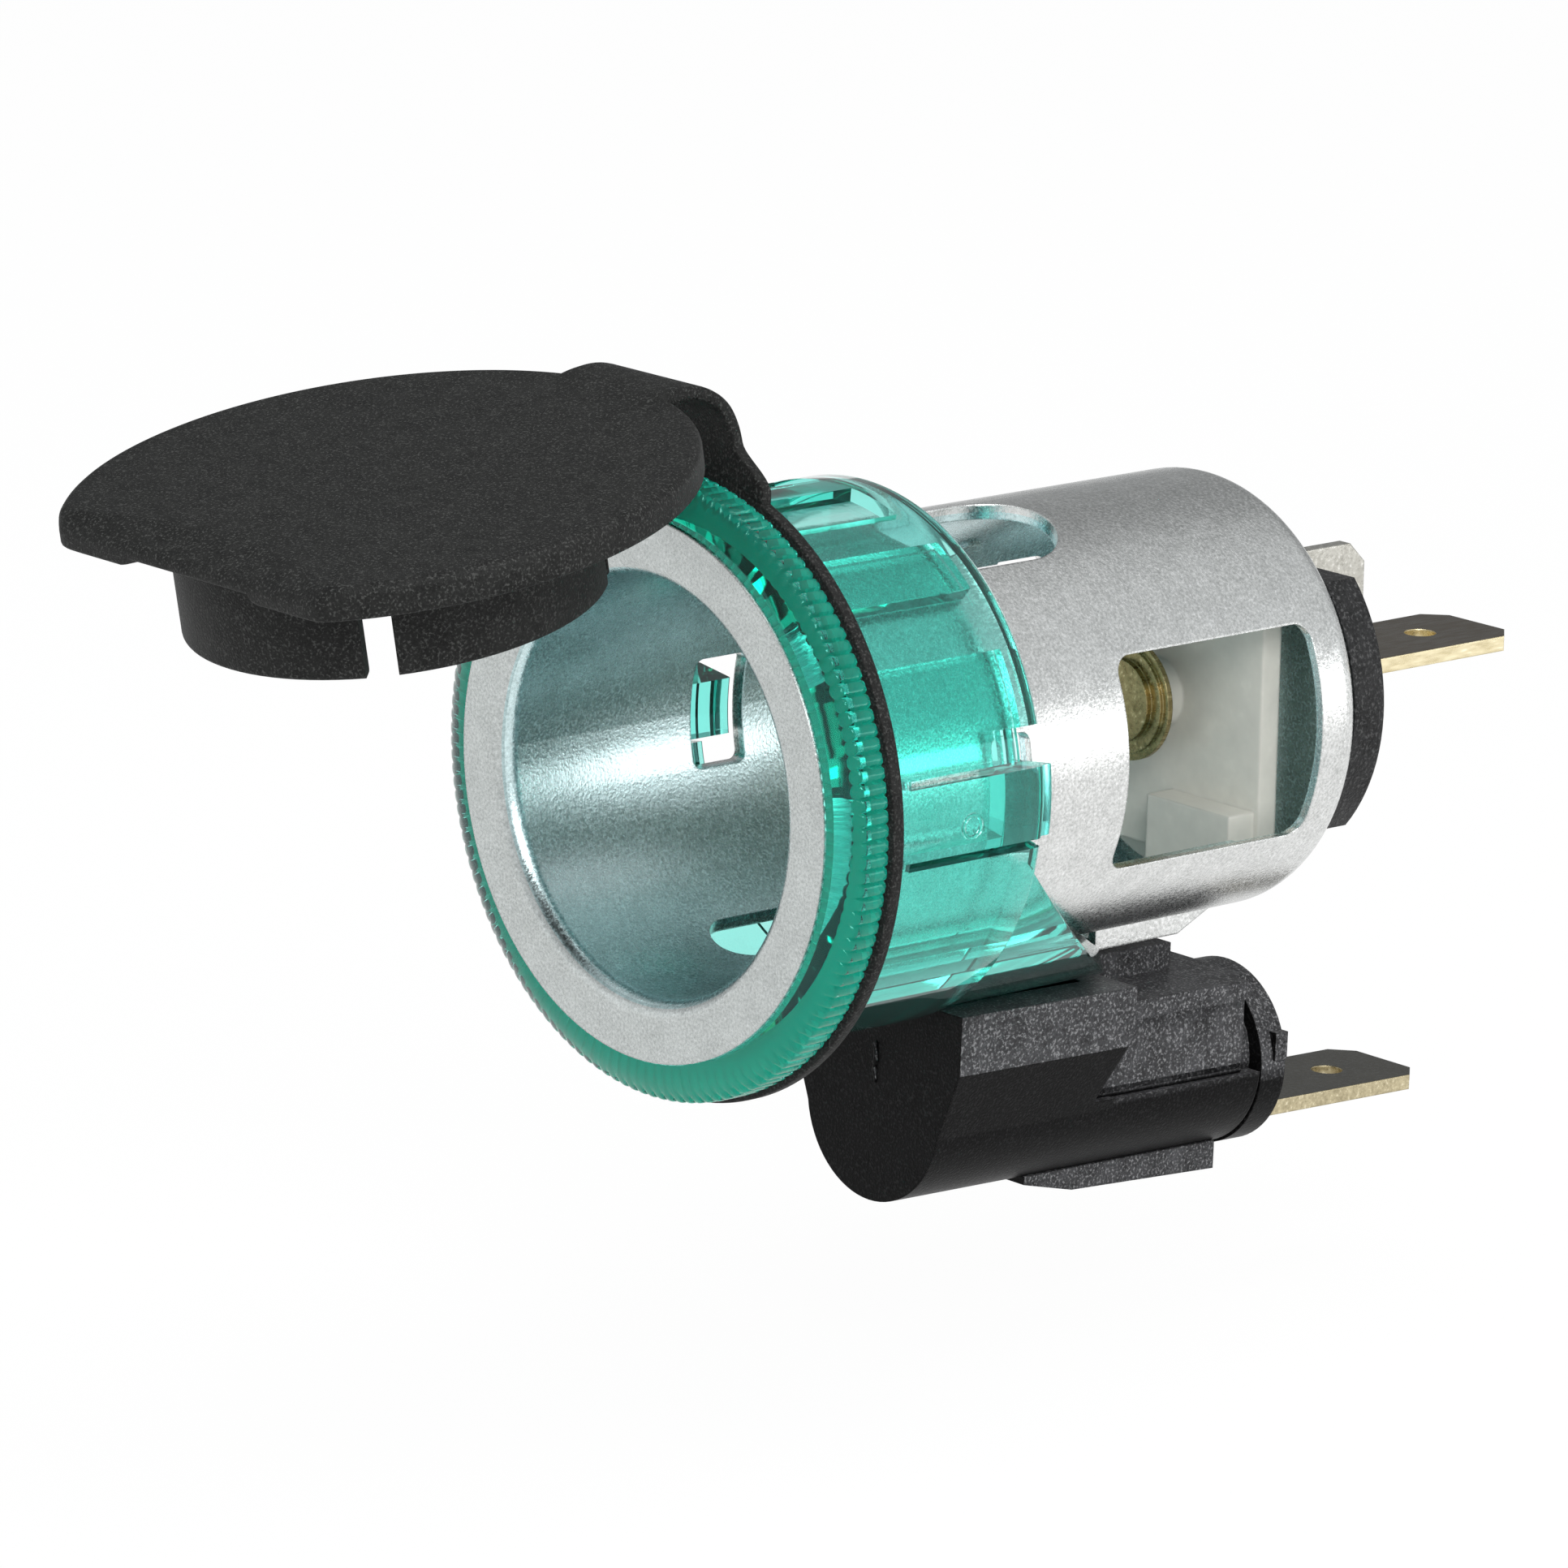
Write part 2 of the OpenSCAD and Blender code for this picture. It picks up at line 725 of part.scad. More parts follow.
module lamp_carrier() {
    flank = 4.75;
    flank_front = sleeve_rear + run_gap;
    flank_rear = trough_rear - 1.1;
    rib = 5.9;
    rib_t = 1;
    color([0.09, 0.09, 0.1])
    seat_frame()
    lamp_place()
    difference() {
        union() {
            disc_y(inner_r - 0.15, 10.8, collar_rear);
            translate([-flank, 0, 0])
            rotate([90, 0, 90])
            linear_extrude(2 * flank)
            polygon([[flank_front - sleeve_slant, 0], [flank_front, carrier_top - 1.05], [flank_front, carrier_top], [flank_rear, carrier_top], [flank_rear, 0]]);
            translate([-rib, sleeve_rear + run_gap, carrier_top - rib_t])
            cube([2 * rib, 8.2, rib_t]);
            translate([-key_half, key_front, carrier_top - 0.1])
            cube([2 * key_half, key_rear - key_front, key_top - carrier_top + 0.1]);
            translate([0, 0, -collar_drop])
            disc_y(collar_r, collar_front, collar_rear);
            translate([collar_r - 0.6, collar_rear - 0.9, 0.1])
            cube([0.75, 0.85, 1.5]);
        }
        disc_y(cap_r + snug_gap, 10, cap_rear + 0.2);
        translate([-lamp_neck / 2 - snug_gap, lamp_neck_front, lamp_blade_z - blade_t / 2 - snug_gap])
        cube([lamp_neck + 2 * snug_gap, far, blade_t + 2 * snug_gap]);
        disc_y(tip_pocket_r, cap_front, cap_rear + tip_pocket_depth);
        translate([-spring_w / 2 - snug_gap, spring_front - snug_gap, 0])
        cube([spring_w + 2 * snug_gap, spring_t + 2 * snug_gap, carrier_top + past]);
    }
}

module lamp_terminal() {
    color([0.66, 0.56, 0.36])
    seat_frame()
    lamp_place()
    translate([0, 0, lamp_blade_z - blade_t / 2]) {
        linear_extrude(blade_t)
        blade_outline(collar_rear + 0.2, lamp_blade_rear);
        translate([-lamp_neck / 2, lamp_neck_front, 0])
        cube([lamp_neck, collar_rear + 0.4 - lamp_neck_front, blade_t]);
    }
}

module bulb_cap() {
    color([0.72, 0.6, 0.35])
    seat_frame()
    lamp_place()
    difference() {
        disc_y(cap_r, cap_front, cap_rear);
        disc_y(cap_r - cap_wall, cap_front - past, cap_rear - cap_wall);
        disc_y(1.6, cap_front, cap_rear + past);
    }
}

module bulb_base_insulator() {
    color([0.1, 0.1, 0.12])
    seat_frame()
    lamp_place()
    disc_y(1.6 - snug_gap, cap_rear - 0.6, cap_rear + 0.2);
}

module bulb_solder_tip() {
    color([0.7, 0.7, 0.72])
    seat_frame()
    lamp_place()
    disc_y(0.9, cap_rear + 0.2, cap_rear + 0.5);
}

module bulb_glass() {
    color([0.9, 0.93, 0.95, 0.4])
    seat_frame()
    lamp_place()
    difference() {
        union() {
            disc_y(bulb_r, bulb_front, cap_front + 1.2);
            translate([0, bulb_front, 0])
            sphere(r = bulb_r, $fn = 64);
        }
        disc_y(bulb_r - glass_wall, bulb_front, cap_front + 1.2 + past);
        translate([0, bulb_front, 0])
        sphere(r = bulb_r - glass_wall, $fn = 64);
    }
}

module bulb_stem() {
    color([0.85, 0.9, 0.92, 0.6])
    seat_frame()
    lamp_place()
    disc_y(bulb_r - glass_wall - 0.25, stem_front, cap_front + 1.4);
}

module bulb_leads() {
    color([0.6, 0.6, 0.62])
    seat_frame()
    lamp_place()
    for (side = [-1, 1])
        translate([side * lead_x, 0, 0])
        disc_y(lead_r, filament_y + lead_r, stem_front);
}

module bulb_filament() {
    color([0.4, 0.4, 0.42])
    seat_frame()
    lamp_place()
    translate([-lead_x - lead_r, filament_y, 0])
    rotate([0, 90, 0])
    cylinder(r = lead_r, h = 2 * (lead_x + lead_r), $fn = 24);
}

shell();
light_ring();
cover_ring();
insulator();
centre_contact();
centre_rivet();
rear_plate();
plus_terminal();
minus_terminal();
lamp_hood();
lamp_ground_spring();
lamp_carrier();
lamp_terminal();
bulb_cap();
bulb_base_insulator();
bulb_solder_tip();
bulb_glass();
bulb_stem();
bulb_leads();
bulb_filament();
lid();
hinge_strap();
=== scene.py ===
import bpy
import bmesh
import math
import numpy as np
from mathutils import Matrix, Vector


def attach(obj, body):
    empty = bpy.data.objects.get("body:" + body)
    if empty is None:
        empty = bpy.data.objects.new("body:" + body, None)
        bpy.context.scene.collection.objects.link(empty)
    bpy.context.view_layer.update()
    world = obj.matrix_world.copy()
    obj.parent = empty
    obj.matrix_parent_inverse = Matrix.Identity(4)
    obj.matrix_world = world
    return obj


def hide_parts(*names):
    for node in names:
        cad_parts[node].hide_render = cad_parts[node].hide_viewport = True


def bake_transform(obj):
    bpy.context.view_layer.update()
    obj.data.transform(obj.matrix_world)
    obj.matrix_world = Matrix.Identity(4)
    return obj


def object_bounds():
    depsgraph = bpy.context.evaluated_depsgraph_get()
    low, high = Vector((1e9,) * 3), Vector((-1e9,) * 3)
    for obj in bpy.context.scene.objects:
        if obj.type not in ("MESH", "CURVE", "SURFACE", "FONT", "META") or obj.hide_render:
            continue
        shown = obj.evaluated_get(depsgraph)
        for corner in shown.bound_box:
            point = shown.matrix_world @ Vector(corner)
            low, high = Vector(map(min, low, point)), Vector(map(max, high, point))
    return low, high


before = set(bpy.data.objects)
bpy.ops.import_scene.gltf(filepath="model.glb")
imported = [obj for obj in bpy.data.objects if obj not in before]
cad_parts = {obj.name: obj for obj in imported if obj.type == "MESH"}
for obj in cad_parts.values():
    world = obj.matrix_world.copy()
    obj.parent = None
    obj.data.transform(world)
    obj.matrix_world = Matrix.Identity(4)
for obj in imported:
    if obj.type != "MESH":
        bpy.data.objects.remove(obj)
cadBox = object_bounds()
print("frame loaded")

mm = 0.001
seatY = 3.2  # the mouth plane lies this far in front of the frame's origin, in mm


# materials

def newMaterial(name):
    material = bpy.data.materials.new(name)
    material.use_nodes = True
    nodes = material.node_tree.nodes
    nodes.clear()
    out = nodes.new("ShaderNodeOutputMaterial")
    shader = nodes.new("ShaderNodeBsdfPrincipled")
    shader.location = (-300, 0)
    material.node_tree.links.new(shader.outputs["BSDF"], out.inputs["Surface"])
    return material, shader


def newGroup(name, inputs, outputs):
    group = bpy.data.node_groups.new(name, "ShaderNodeTree")
    for label, kind, value in inputs:
        socket = group.interface.new_socket(label, in_out="INPUT", socket_type=kind)
        socket.default_value = value
    for label, kind in outputs:
        group.interface.new_socket(label, in_out="OUTPUT", socket_type=kind)
    return group, group.nodes.new("NodeGroupInput"), group.nodes.new("NodeGroupOutput")


grainSet = {
    "broadScale": 0.12, "fineDetail": 2.0, "broadDetail": 3.0, "noiseRoughness": 0.6,
    "glitterGain": 9,
}
noiseLow, noiseHigh = 0.3, 0.7  # nearly all of a noise's values lie between these


# Moulded or plated grain: two noises, one at the size of a grain and one about eight times larger,
# and a sparse glitter where the fine noise is near its top.
def makeGrainGroup():
    number = "NodeSocketFloat"
    group, inside, outside = newGroup(
        "grain",
        [("Grain Size", number, 0.2), ("Glitter Threshold", number, 0.62),
         ("Stretch", "NodeSocketVector", (1, 1, 1))],
        [("Fine", number), ("Broad", number), ("Glitter", number)],
    )
    nodes, links = group.nodes, group.links
    coords = nodes.new("ShaderNodeTexCoord")
    stretch = nodes.new("ShaderNodeVectorMath")
    stretch.operation = "MULTIPLY"
    links.new(coords.outputs["Object"], stretch.inputs[0])
    links.new(inside.outputs["Stretch"], stretch.inputs[1])
    perMetre = nodes.new("ShaderNodeMath")
    perMetre.operation = "DIVIDE"
    perMetre.inputs[0].default_value = 1000  # the grain size is in mm
    links.new(inside.outputs["Grain Size"], perMetre.inputs[1])
    broadScale = nodes.new("ShaderNodeMath")
    broadScale.operation = "MULTIPLY"
    broadScale.inputs[1].default_value = grainSet["broadScale"]
    links.new(perMetre.outputs[0], broadScale.inputs[0])
    fine, broad = grainSet["fineDetail"], grainSet["broadDetail"]
    for label, scale, detail in (("Fine", perMetre, fine), ("Broad", broadScale, broad)):
        noise = nodes.new("ShaderNodeTexNoise")
        noise.inputs["Detail"].default_value = detail
        noise.inputs["Roughness"].default_value = grainSet["noiseRoughness"]
        links.new(stretch.outputs[0], noise.inputs["Vector"])
        links.new(scale.outputs[0], noise.inputs["Scale"])
        links.new(noise.outputs["Fac"], outside.inputs[label])
        if label == "Fine":
            above = nodes.new("ShaderNodeMath")
            above.operation = "SUBTRACT"
            links.new(noise.outputs["Fac"], above.inputs[0])
            links.new(inside.outputs["Glitter Threshold"], above.inputs[1])
            steep = nodes.new("ShaderNodeMath")
            steep.operation = "MULTIPLY"
            steep.use_clamp = True
            steep.inputs[1].default_value = grainSet["glitterGain"]
            links.new(above.outputs[0], steep.inputs[0])
            links.new(steep.outputs[0], outside.inputs["Glitter"])
    return group


grainGroup = makeGrainGroup()


# Multiplies a colour by a tint, as far as the mask says.
def tinted(nodes, links, color, mask, tint):
    mix = nodes.new("ShaderNodeMix")
    mix.data_type = "RGBA"
    mix.blend_type = "MULTIPLY"
    mix.inputs["B"].default_value = (*tint, 1)
    links.new(mask, mix.inputs["Factor"])
    links.new(color, mix.inputs["A"])
    return mix.outputs["Result"]


# 1 where the surface is nearer to the socket's axis than the radius in mm.
def insideMask(nodes, links, radius):
    coords = nodes.new("ShaderNodeTexCoord")
    flat = nodes.new("ShaderNodeVectorMath")
    flat.operation = "MULTIPLY"
    flat.inputs[1].default_value = (1, 0, 1)
    links.new(coords.outputs["Object"], flat.inputs[0])
    length = nodes.new("ShaderNodeVectorMath")
    length.operation = "LENGTH"
    links.new(flat.outputs[0], length.inputs[0])
    inside = nodes.new("ShaderNodeMath")
    inside.operation = "LESS_THAN"
    inside.inputs[1].default_value = radius * mm
    links.new(length.outputs["Value"], inside.inputs[0])
    return inside.outputs[0]


# 1 where the surface lies in front of the depth in mm.
def frontMask(nodes, links, depth):
    coords = nodes.new("ShaderNodeTexCoord")
    split = nodes.new("ShaderNodeSeparateXYZ")
    links.new(coords.outputs["Object"], split.inputs[0])
    before = nodes.new("ShaderNodeMath")
    before.operation = "LESS_THAN"
    before.inputs[1].default_value = depth * mm
    links.new(split.outputs["Y"], before.inputs[0])
    return before.outputs[0]


# Grows to 1 where the surface faces up, and by the side share also where it faces left or right.
def upMask(nodes, links, low, high, sideShare):
    coords = nodes.new("ShaderNodeTexCoord")
    split = nodes.new("ShaderNodeSeparateXYZ")
    links.new(coords.outputs["Normal"], split.inputs[0])
    sideways = nodes.new("ShaderNodeMath")
    sideways.operation = "ABSOLUTE"
    links.new(split.outputs["X"], sideways.inputs[0])
    height = nodes.new("ShaderNodeMath")
    height.operation = "MULTIPLY_ADD"
    height.inputs[1].default_value = sideShare
    links.new(sideways.outputs[0], height.inputs[0])
    links.new(split.outputs["Z"], height.inputs[2])
    facing = nodes.new("ShaderNodeMapRange")
    facing.inputs["From Min"].default_value = low
    facing.inputs["From Max"].default_value = high
    links.new(height.outputs[0], facing.inputs["Value"])
    return facing.outputs["Result"]


# One finish from the grain group: the colour runs from dark to light with fine and broad grain,
# glitter lightens it further, and roughness and bump follow the fine grain.
def grainMaterial(name, s):
    material, shader = newMaterial(name)
    nodes, links = material.node_tree.nodes, material.node_tree.links
    grain = nodes.new("ShaderNodeGroup")
    grain.node_tree = grainGroup
    grain.inputs["Grain Size"].default_value = s["grain"]
    grain.inputs["Glitter Threshold"].default_value = s.get("glitterFrom", 0.62)
    grain.inputs["Stretch"].default_value = s.get("stretch", (1, 1, 1))
    blend = nodes.new("ShaderNodeMath")
    blend.operation = "MULTIPLY_ADD"
    blend.inputs[1].default_value = s.get("broadShare", 0.4)
    links.new(grain.outputs["Broad"], blend.inputs[0])
    fineShare = nodes.new("ShaderNodeMath")
    fineShare.operation = "MULTIPLY"
    fineShare.inputs[1].default_value = 1 - s.get("broadShare", 0.4)
    links.new(grain.outputs["Fine"], fineShare.inputs[0])
    links.new(fineShare.outputs[0], blend.inputs[2])
    ramp = nodes.new("ShaderNodeValToRGB")
    ramp.color_ramp.elements[0].position = noiseLow
    ramp.color_ramp.elements[0].color = (*s["dark"], 1)
    ramp.color_ramp.elements[1].position = noiseHigh
    ramp.color_ramp.elements[1].color = (*s["light"], 1)
    links.new(blend.outputs[0], ramp.inputs["Fac"])
    shine = nodes.new("ShaderNodeMix")
    shine.data_type = "RGBA"
    shine.inputs["B"].default_value = (*s.get("glitter", s["light"]), 1)
    links.new(grain.outputs["Glitter"], shine.inputs["Factor"])
    links.new(ramp.outputs["Color"], shine.inputs["A"])
    color = shine.outputs["Result"]
    # painted light and shade: a cool painted reflection in the bore, painted shade on the front rim, and
    # on faces that look up painted light that lightens them or painted shade that darkens them, by
    # finish
    if "paintedBoreReflection" in s:
        bore = insideMask(nodes, links, s["boreRadius"])
        color = tinted(nodes, links, color, bore, s["paintedBoreReflection"])
        rim = frontMask(nodes, links, s["rimDepth"])
        color = tinted(nodes, links, color, rim, s["paintedRimShade"])
    if "paintedTopLight" in s:
        top = upMask(nodes, links, *s.get("topFrom", (0.6, 0.9, 0)))
        color = tinted(nodes, links, color, top, s["paintedTopLight"])
    links.new(color, shader.inputs["Base Color"])
    rough = nodes.new("ShaderNodeMapRange")
    rough.inputs["From Min"].default_value = noiseLow
    rough.inputs["From Max"].default_value = noiseHigh
    rough.inputs["To Min"].default_value = s["rough"][0]
    rough.inputs["To Max"].default_value = s["rough"][1]
    links.new(grain.outputs["Fine"], rough.inputs["Value"])
    links.new(rough.outputs["Result"], shader.inputs["Roughness"])
    bump = nodes.new("ShaderNodeBump")
    bump.inputs["Strength"].default_value = s["bump"]
    bump.inputs["Distance"].default_value = s.get("bumpDepth", 0.03) * mm
    links.new(grain.outputs["Fine"], bump.inputs["Height"])
    if s.get("edge"):
        worn = nodes.new("ShaderNodeBevel")
        worn.samples = 4
        worn.inputs["Radius"].default_value = s["edge"] * mm
        links.new(worn.outputs["Normal"], bump.inputs["Normal"])
    links.new(bump.outputs["Normal"], shader.inputs["Normal"])
    shader.inputs["Metallic"].default_value = s.get("metal", 0)
    shader.inputs["Specular IOR Level"].default_value = s.get("specular", 0.5)
    return material


# The tints multiply the colour and stand in for light and shade that the lamps don't give: inside
# boreRadius a cool painted reflection, in front of rimDepth painted shade (both mm, frame axes), and on
# faces that look up painted light or painted shade, by finish.
# topFrom is the facing at which the top tint starts and is full, and how much facing left or right
# counts.
finishes = {
    "zincSteel": {
        "dark": (0.5, 0.51, 0.5), "light": (0.9, 0.91, 0.9), "glitter": (0.95, 0.96, 0.96),
        "glitterFrom": 0.64, "grain": 0.16, "rough": (0.2, 0.32), "bump": 0.7, "bumpDepth": 0.022,
        "metal": 1, "edge": 0.15, "broadShare": 0.25, "boreRadius": 11.1, "rimDepth": -2.9,
        # painted light: a cool painted reflection inside the bore, and painted shade that darkens the
        # front rim to about three quarters
        "paintedRimShade": (0.72, 0.75, 0.75), "paintedBoreReflection": (0.86, 1.06, 1.09),
    },
    "blackSoft": {
        "dark": (0.003, 0.0031, 0.003), "light": (0.02, 0.0205, 0.0195),
        "glitter": (0.05, 0.051, 0.049), "glitterFrom": 0.55, "grain": 0.14, "rough": (0.45, 0.7),
        "bump": 1, "bumpDepth": 0.08, "edge": 0.12, "specular": 0.14,
    },
    "blackPlastic": {
        "dark": (0.001, 0.001, 0.001), "light": (0.006, 0.006, 0.0063),
        "glitter": (0.014, 0.014, 0.0142), "glitterFrom": 0.55, "grain": 0.15,
        "rough": (0.34, 0.46), "bump": 1, "bumpDepth": 0.03, "edge": 0.12, "specular": 0.06,
        # painted light: faces that look up or to the side are made fourteen times lighter
        "paintedTopLight": (14, 14, 14.1), "topFrom": (0.12, 0.24, 0.25),
    },
    "blackBoard": {
        "dark": (0.003, 0.003, 0.003), "light": (0.03, 0.03, 0.031), "glitter": (0.06, 0.06, 0.06),
        "glitterFrom": 0.55, "grain": 0.18, "rough": (0.4, 0.55), "bump": 1, "bumpDepth": 0.07,
        "edge": 0.15, "specular": 0.15,
    },
    "whitePlastic": {
        "dark": (0.55, 0.54, 0.49), "light": (0.63, 0.62, 0.56), "grain": 1.2, "rough": (0.3, 0.38),
        "bump": 0.05, "edge": 0.25,
    },
    "brass": {
        "dark": (0.2, 0.15, 0.065), "light": (0.46, 0.38, 0.19), "glitter": (0.7, 0.6, 0.36),
        "grain": 0.3, "stretch": (1, 0.2, 1), "rough": (0.22, 0.36), "bump": 0.25, "metal": 1,
        "edge": 0.12,
    },
    "brassBlade": {
        "dark": (0.6, 0.5, 0.28), "light": (0.95, 0.86, 0.6), "glitter": (0.97, 0.9, 0.7),
        "grain": 0.3, "stretch": (1, 0.2, 1), "rough": (0.22, 0.36), "bump": 0.25, "metal": 1,
        # painted shade: the tops of the blades are darkened to about a tenth
        "edge": 0.12, "paintedTopLight": (0.12, 0.1, 0.085),
    },
    "tinned": {
        "dark": (0.34, 0.29, 0.18), "light": (0.66, 0.58, 0.38), "glitter": (0.75, 0.68, 0.5),
        "grain": 0.22, "rough": (0.26, 0.4), "bump": 0.35, "metal": 1, "edge": 0.12,
        # painted shade: the tops are darkened to about a sixth
        "paintedTopLight": (0.16, 0.17, 0.2),
    },
    "tinnedBright": {
        "dark": (0.38, 0.37, 0.33), "light": (0.62, 0.61, 0.56), "glitter": (0.72, 0.71, 0.67),
        "grain": 0.24, "rough": (0.26, 0.4), "bump": 0.4, "metal": 1, "edge": 0.12,
    },
    "solder": {
        "dark": (0.5, 0.5, 0.52), "light": (0.7, 0.7, 0.72), "grain": 0.3, "rough": (0.35, 0.5),
        "bump": 0.2, "metal": 1,
    },
    "tungsten": {
        "dark": (0.2, 0.2, 0.21), "light": (0.35, 0.35, 0.37), "grain": 0.1, "rough": (0.4, 0.5),
        "bump": 0.1, "metal": 1,
    },
}
mats = {name: grainMaterial(name, s) for name, s in finishes.items()}

waveSize, waveStrength, waveDepth = 0.9, 0.08, 0.03  # the slight waves of a clear surface, mm

clearFinishes = {
    # absorb is the colour that a long way through leaves, density how fast it goes, per metre.
    # sheen tints what the surface itself reflects.
    "greenClear": {
        "color": (0.75, 0.985, 0.95), "clear": 0.985, "rough": 0.04, "ior": 1.45,
        "absorb": (0.0, 0.91, 0.84), "density": 380.0, "sheen": (0.22, 0.9, 0.85),
    },
    "greenDeep": {
        "color": (0.0, 0.72, 0.56), "clear": 0.1, "rough": 0.25, "ior": 1.45,
        "absorb": (0.0, 0.91, 0.84), "density": 330.0, "sheen": (0.0, 0.9, 0.8),
    },
    "glass": {
        "color": (0.97, 0.98, 0.98), "clear": 1.0, "rough": 0.02, "ior": 1.5,
        "absorb": (1.0, 1.0, 1.0), "density": 0.0,
    },
}


def clearMaterial(name, s):
    material, shader = newMaterial(name)
    nodes, links = material.node_tree.nodes, material.node_tree.links
    grain = nodes.new("ShaderNodeGroup")
    grain.node_tree = grainGroup
    grain.inputs["Grain Size"].default_value = waveSize
    bump = nodes.new("ShaderNodeBump")
    bump.inputs["Strength"].default_value = waveStrength
    bump.inputs["Distance"].default_value = waveDepth * mm
    links.new(grain.outputs["Fine"], bump.inputs["Height"])
    links.new(bump.outputs["Normal"], shader.inputs["Normal"])
    shader.inputs["Base Color"].default_value = (*s["color"], 1)
    shader.inputs["Roughness"].default_value = s["rough"]
    shader.inputs["Transmission Weight"].default_value = s["clear"]
    shader.inputs["IOR"].default_value = s["ior"]
    if "sheen" in s:
        shader.inputs["Specular Tint"].default_value = (*s["sheen"], 1)
    if s["density"]:
        inside = nodes.new("ShaderNodeVolumeAbsorption")
        inside.inputs["Color"].default_value = (*s["absorb"], 1)
        inside.inputs["Density"].default_value = s["density"]
        links.new(inside.outputs["Volume"], nodes["Material Output"].inputs["Volume"])
    return material


mats.update({name: clearMaterial(name, s) for name, s in clearFinishes.items()})

nodeFinish = {
    "shell": "zincSteel", "light_ring": "greenClear", "cover_ring": "blackSoft",
    "insulator": "whitePlastic", "centre_contact": "brass", "centre_rivet": "brass",
    "rear_plate": "blackBoard", "plus_terminal": "brassBlade",
    "minus_terminal": "tinnedBright", "lamp_hood": "blackPlastic", "lamp_ground_spring": "tinned",
    "lamp_carrier": "blackPlastic", "lamp_terminal": "tinned", "bulb_cap": "brass",
    "bulb_base_insulator": "blackBoard", "bulb_solder_tip": "solder", "bulb_glass": "glass",
    "bulb_stem": "glass", "bulb_leads": "solder", "bulb_filament": "tungsten", "lid": "blackSoft",
    "hinge_strap": "blackSoft",
}
for nodeName, finish in nodeFinish.items():
    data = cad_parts[nodeName].data
    data.materials.clear()
    data.materials.append(mats[finish])
print("materials ready")


# surfaces worked out on grids, in mm from the mouth centre

# points is rows x columns x 3. Neighbouring points make a quad, and a wrapped direction closes on
# itself.
def gridFaces(rows, columns, wrapRows, wrapColumns, first=0):
    index = np.arange(rows * columns).reshape(rows, columns) + first
    if wrapRows:
        index = np.vstack([index, index[:1]])
    if wrapColumns:
        index = np.hstack([index, index[:, :1]])
    quads = [index[:-1, :-1], index[1:, :-1], index[1:, 1:], index[:-1, 1:]]
    return np.stack(quads, -1).reshape(-1, 4)


# parts is a list of (points, wrapRows, wrapColumns, capEnds). A cap closes the first and last row.
def makePiece(name, parts, finish, body, smoothAngle=35, replaces=()):
    weld, sliver = 2e-7, 1e-7  # m: points this near are one, and edges this short go
    verts, faces, first = [], [], 0
    for points, wrapRows, wrapColumns, capEnds in parts:
        rows, columns = points.shape[:2]
        verts.append(points.reshape(-1, 3))
        faces += gridFaces(rows, columns, wrapRows, wrapColumns, first).tolist()
        if capEnds:
            faces.append(list(range(first, first + columns)))
            last = first + (rows - 1) * columns
            faces.append(list(range(last + columns - 1, last - 1, -1)))
        first += rows * columns
    verts = (np.vstack(verts) - np.array([0, seatY, 0])) * mm
    mesh = bpy.data.meshes.new(name)
    mesh.from_pydata(verts.tolist(), [], faces)
    work = bmesh.new()
    work.from_mesh(mesh)
    bmesh.ops.remove_doubles(work, verts=work.verts, dist=weld)
    bmesh.ops.dissolve_degenerate(work, edges=work.edges, dist=sliver)
    bmesh.ops.recalc_face_normals(work, faces=work.faces)
    work.to_mesh(mesh)
    work.free()
    mesh.polygons.foreach_set("use_smooth", [True] * len(mesh.polygons))
    mesh.set_sharp_from_angle(angle=math.radians(smoothAngle))
    obj = bpy.data.objects.new(name, mesh)
    bpy.context.scene.collection.objects.link(obj)
    mesh.materials.append(mats[finish])
    if isinstance(body, str):
        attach(obj, body)
    else:
        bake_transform(obj)
    if replaces:
        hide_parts(*replaces)
    return obj


# 0 below low, 1 above high, and 3t^2 - 2t^3 between.
def smoothStep(low, high, x):
    t = np.clip((x - low) / (high - low), 0, 1)
    return t * t * (3 - 2 * t)


# A closed loop round a rectangle from (a0, b0) to (a1, b1) with rounded corners.
def roundedLoop(a0, a1, b0, b1, radius, steps=5):
    turn = np.linspace(0, math.pi / 2, steps)
    corners = [
        (a1 - radius, b1 - radius, 0), (a0 + radius, b1 - radius, 1),
        (a0 + radius, b0 + radius, 2), (a1 - radius, b0 + radius, 3),
    ]
    loops = []
    for ca, cb, q in corners:
        angle = turn + q * math.pi / 2
        loops.append(np.stack([ca + radius * np.cos(angle), cb + radius * np.sin(angle)], -1))
    return np.vstack(loops)


# the lid

lidSet = {
    "radius": 15.7, "chord": 12.1, "plate": 1.2, "rim": 1.65, "rimWidth": 1.5,
    "notchHalf": 4.9, "notchBlend": 0.25, "edgeRound": 0.5, "lowerRound": 0.18, "flatInset": 3.6,
    "scoop": 0.52, "scoopEnds": 1.0, "scoopWidth": 2.3, "scoopHalf": 9.8,
    "tilt": 10.6, "centre": (-16.9, 18.0),
    "skirtOuter": 10.45, "skirtInner": 9.25, "skirtDepth": 6.5, "slot": 1.6, "slotTurn": 42.5,
}


# Local lid axes (across, towards the hinge, up off the top face) to the frame: a turn by the tilt
# and a shift.
def lidPlace(points, s):
    t = math.radians(s["tilt"])
    x, u, h = points[..., 0], points[..., 1], points[..., 2]
    y = s["centre"][0] + u * math.cos(t) - h * math.sin(t)
    z = s["centre"][1] + u * math.sin(t) + h * math.cos(t)
    return np.stack([x, y, z], -1)


# The outline is the smaller of the circle and the straight end, both taken in by the inset and joined
# by a high power mean so that the corners are soft.
def lidOutline(s, turn, inset):
    power = 70
    facing = np.maximum(np.cos(turn), 1e-3)
    circle, straight = s["radius"] - inset, (s["chord"] - inset) / facing
    reach = (circle ** -power + straight ** -power) ** (-1 / power)
    return np.stack([reach * np.sin(turn), -reach * np.cos(turn)], -1)


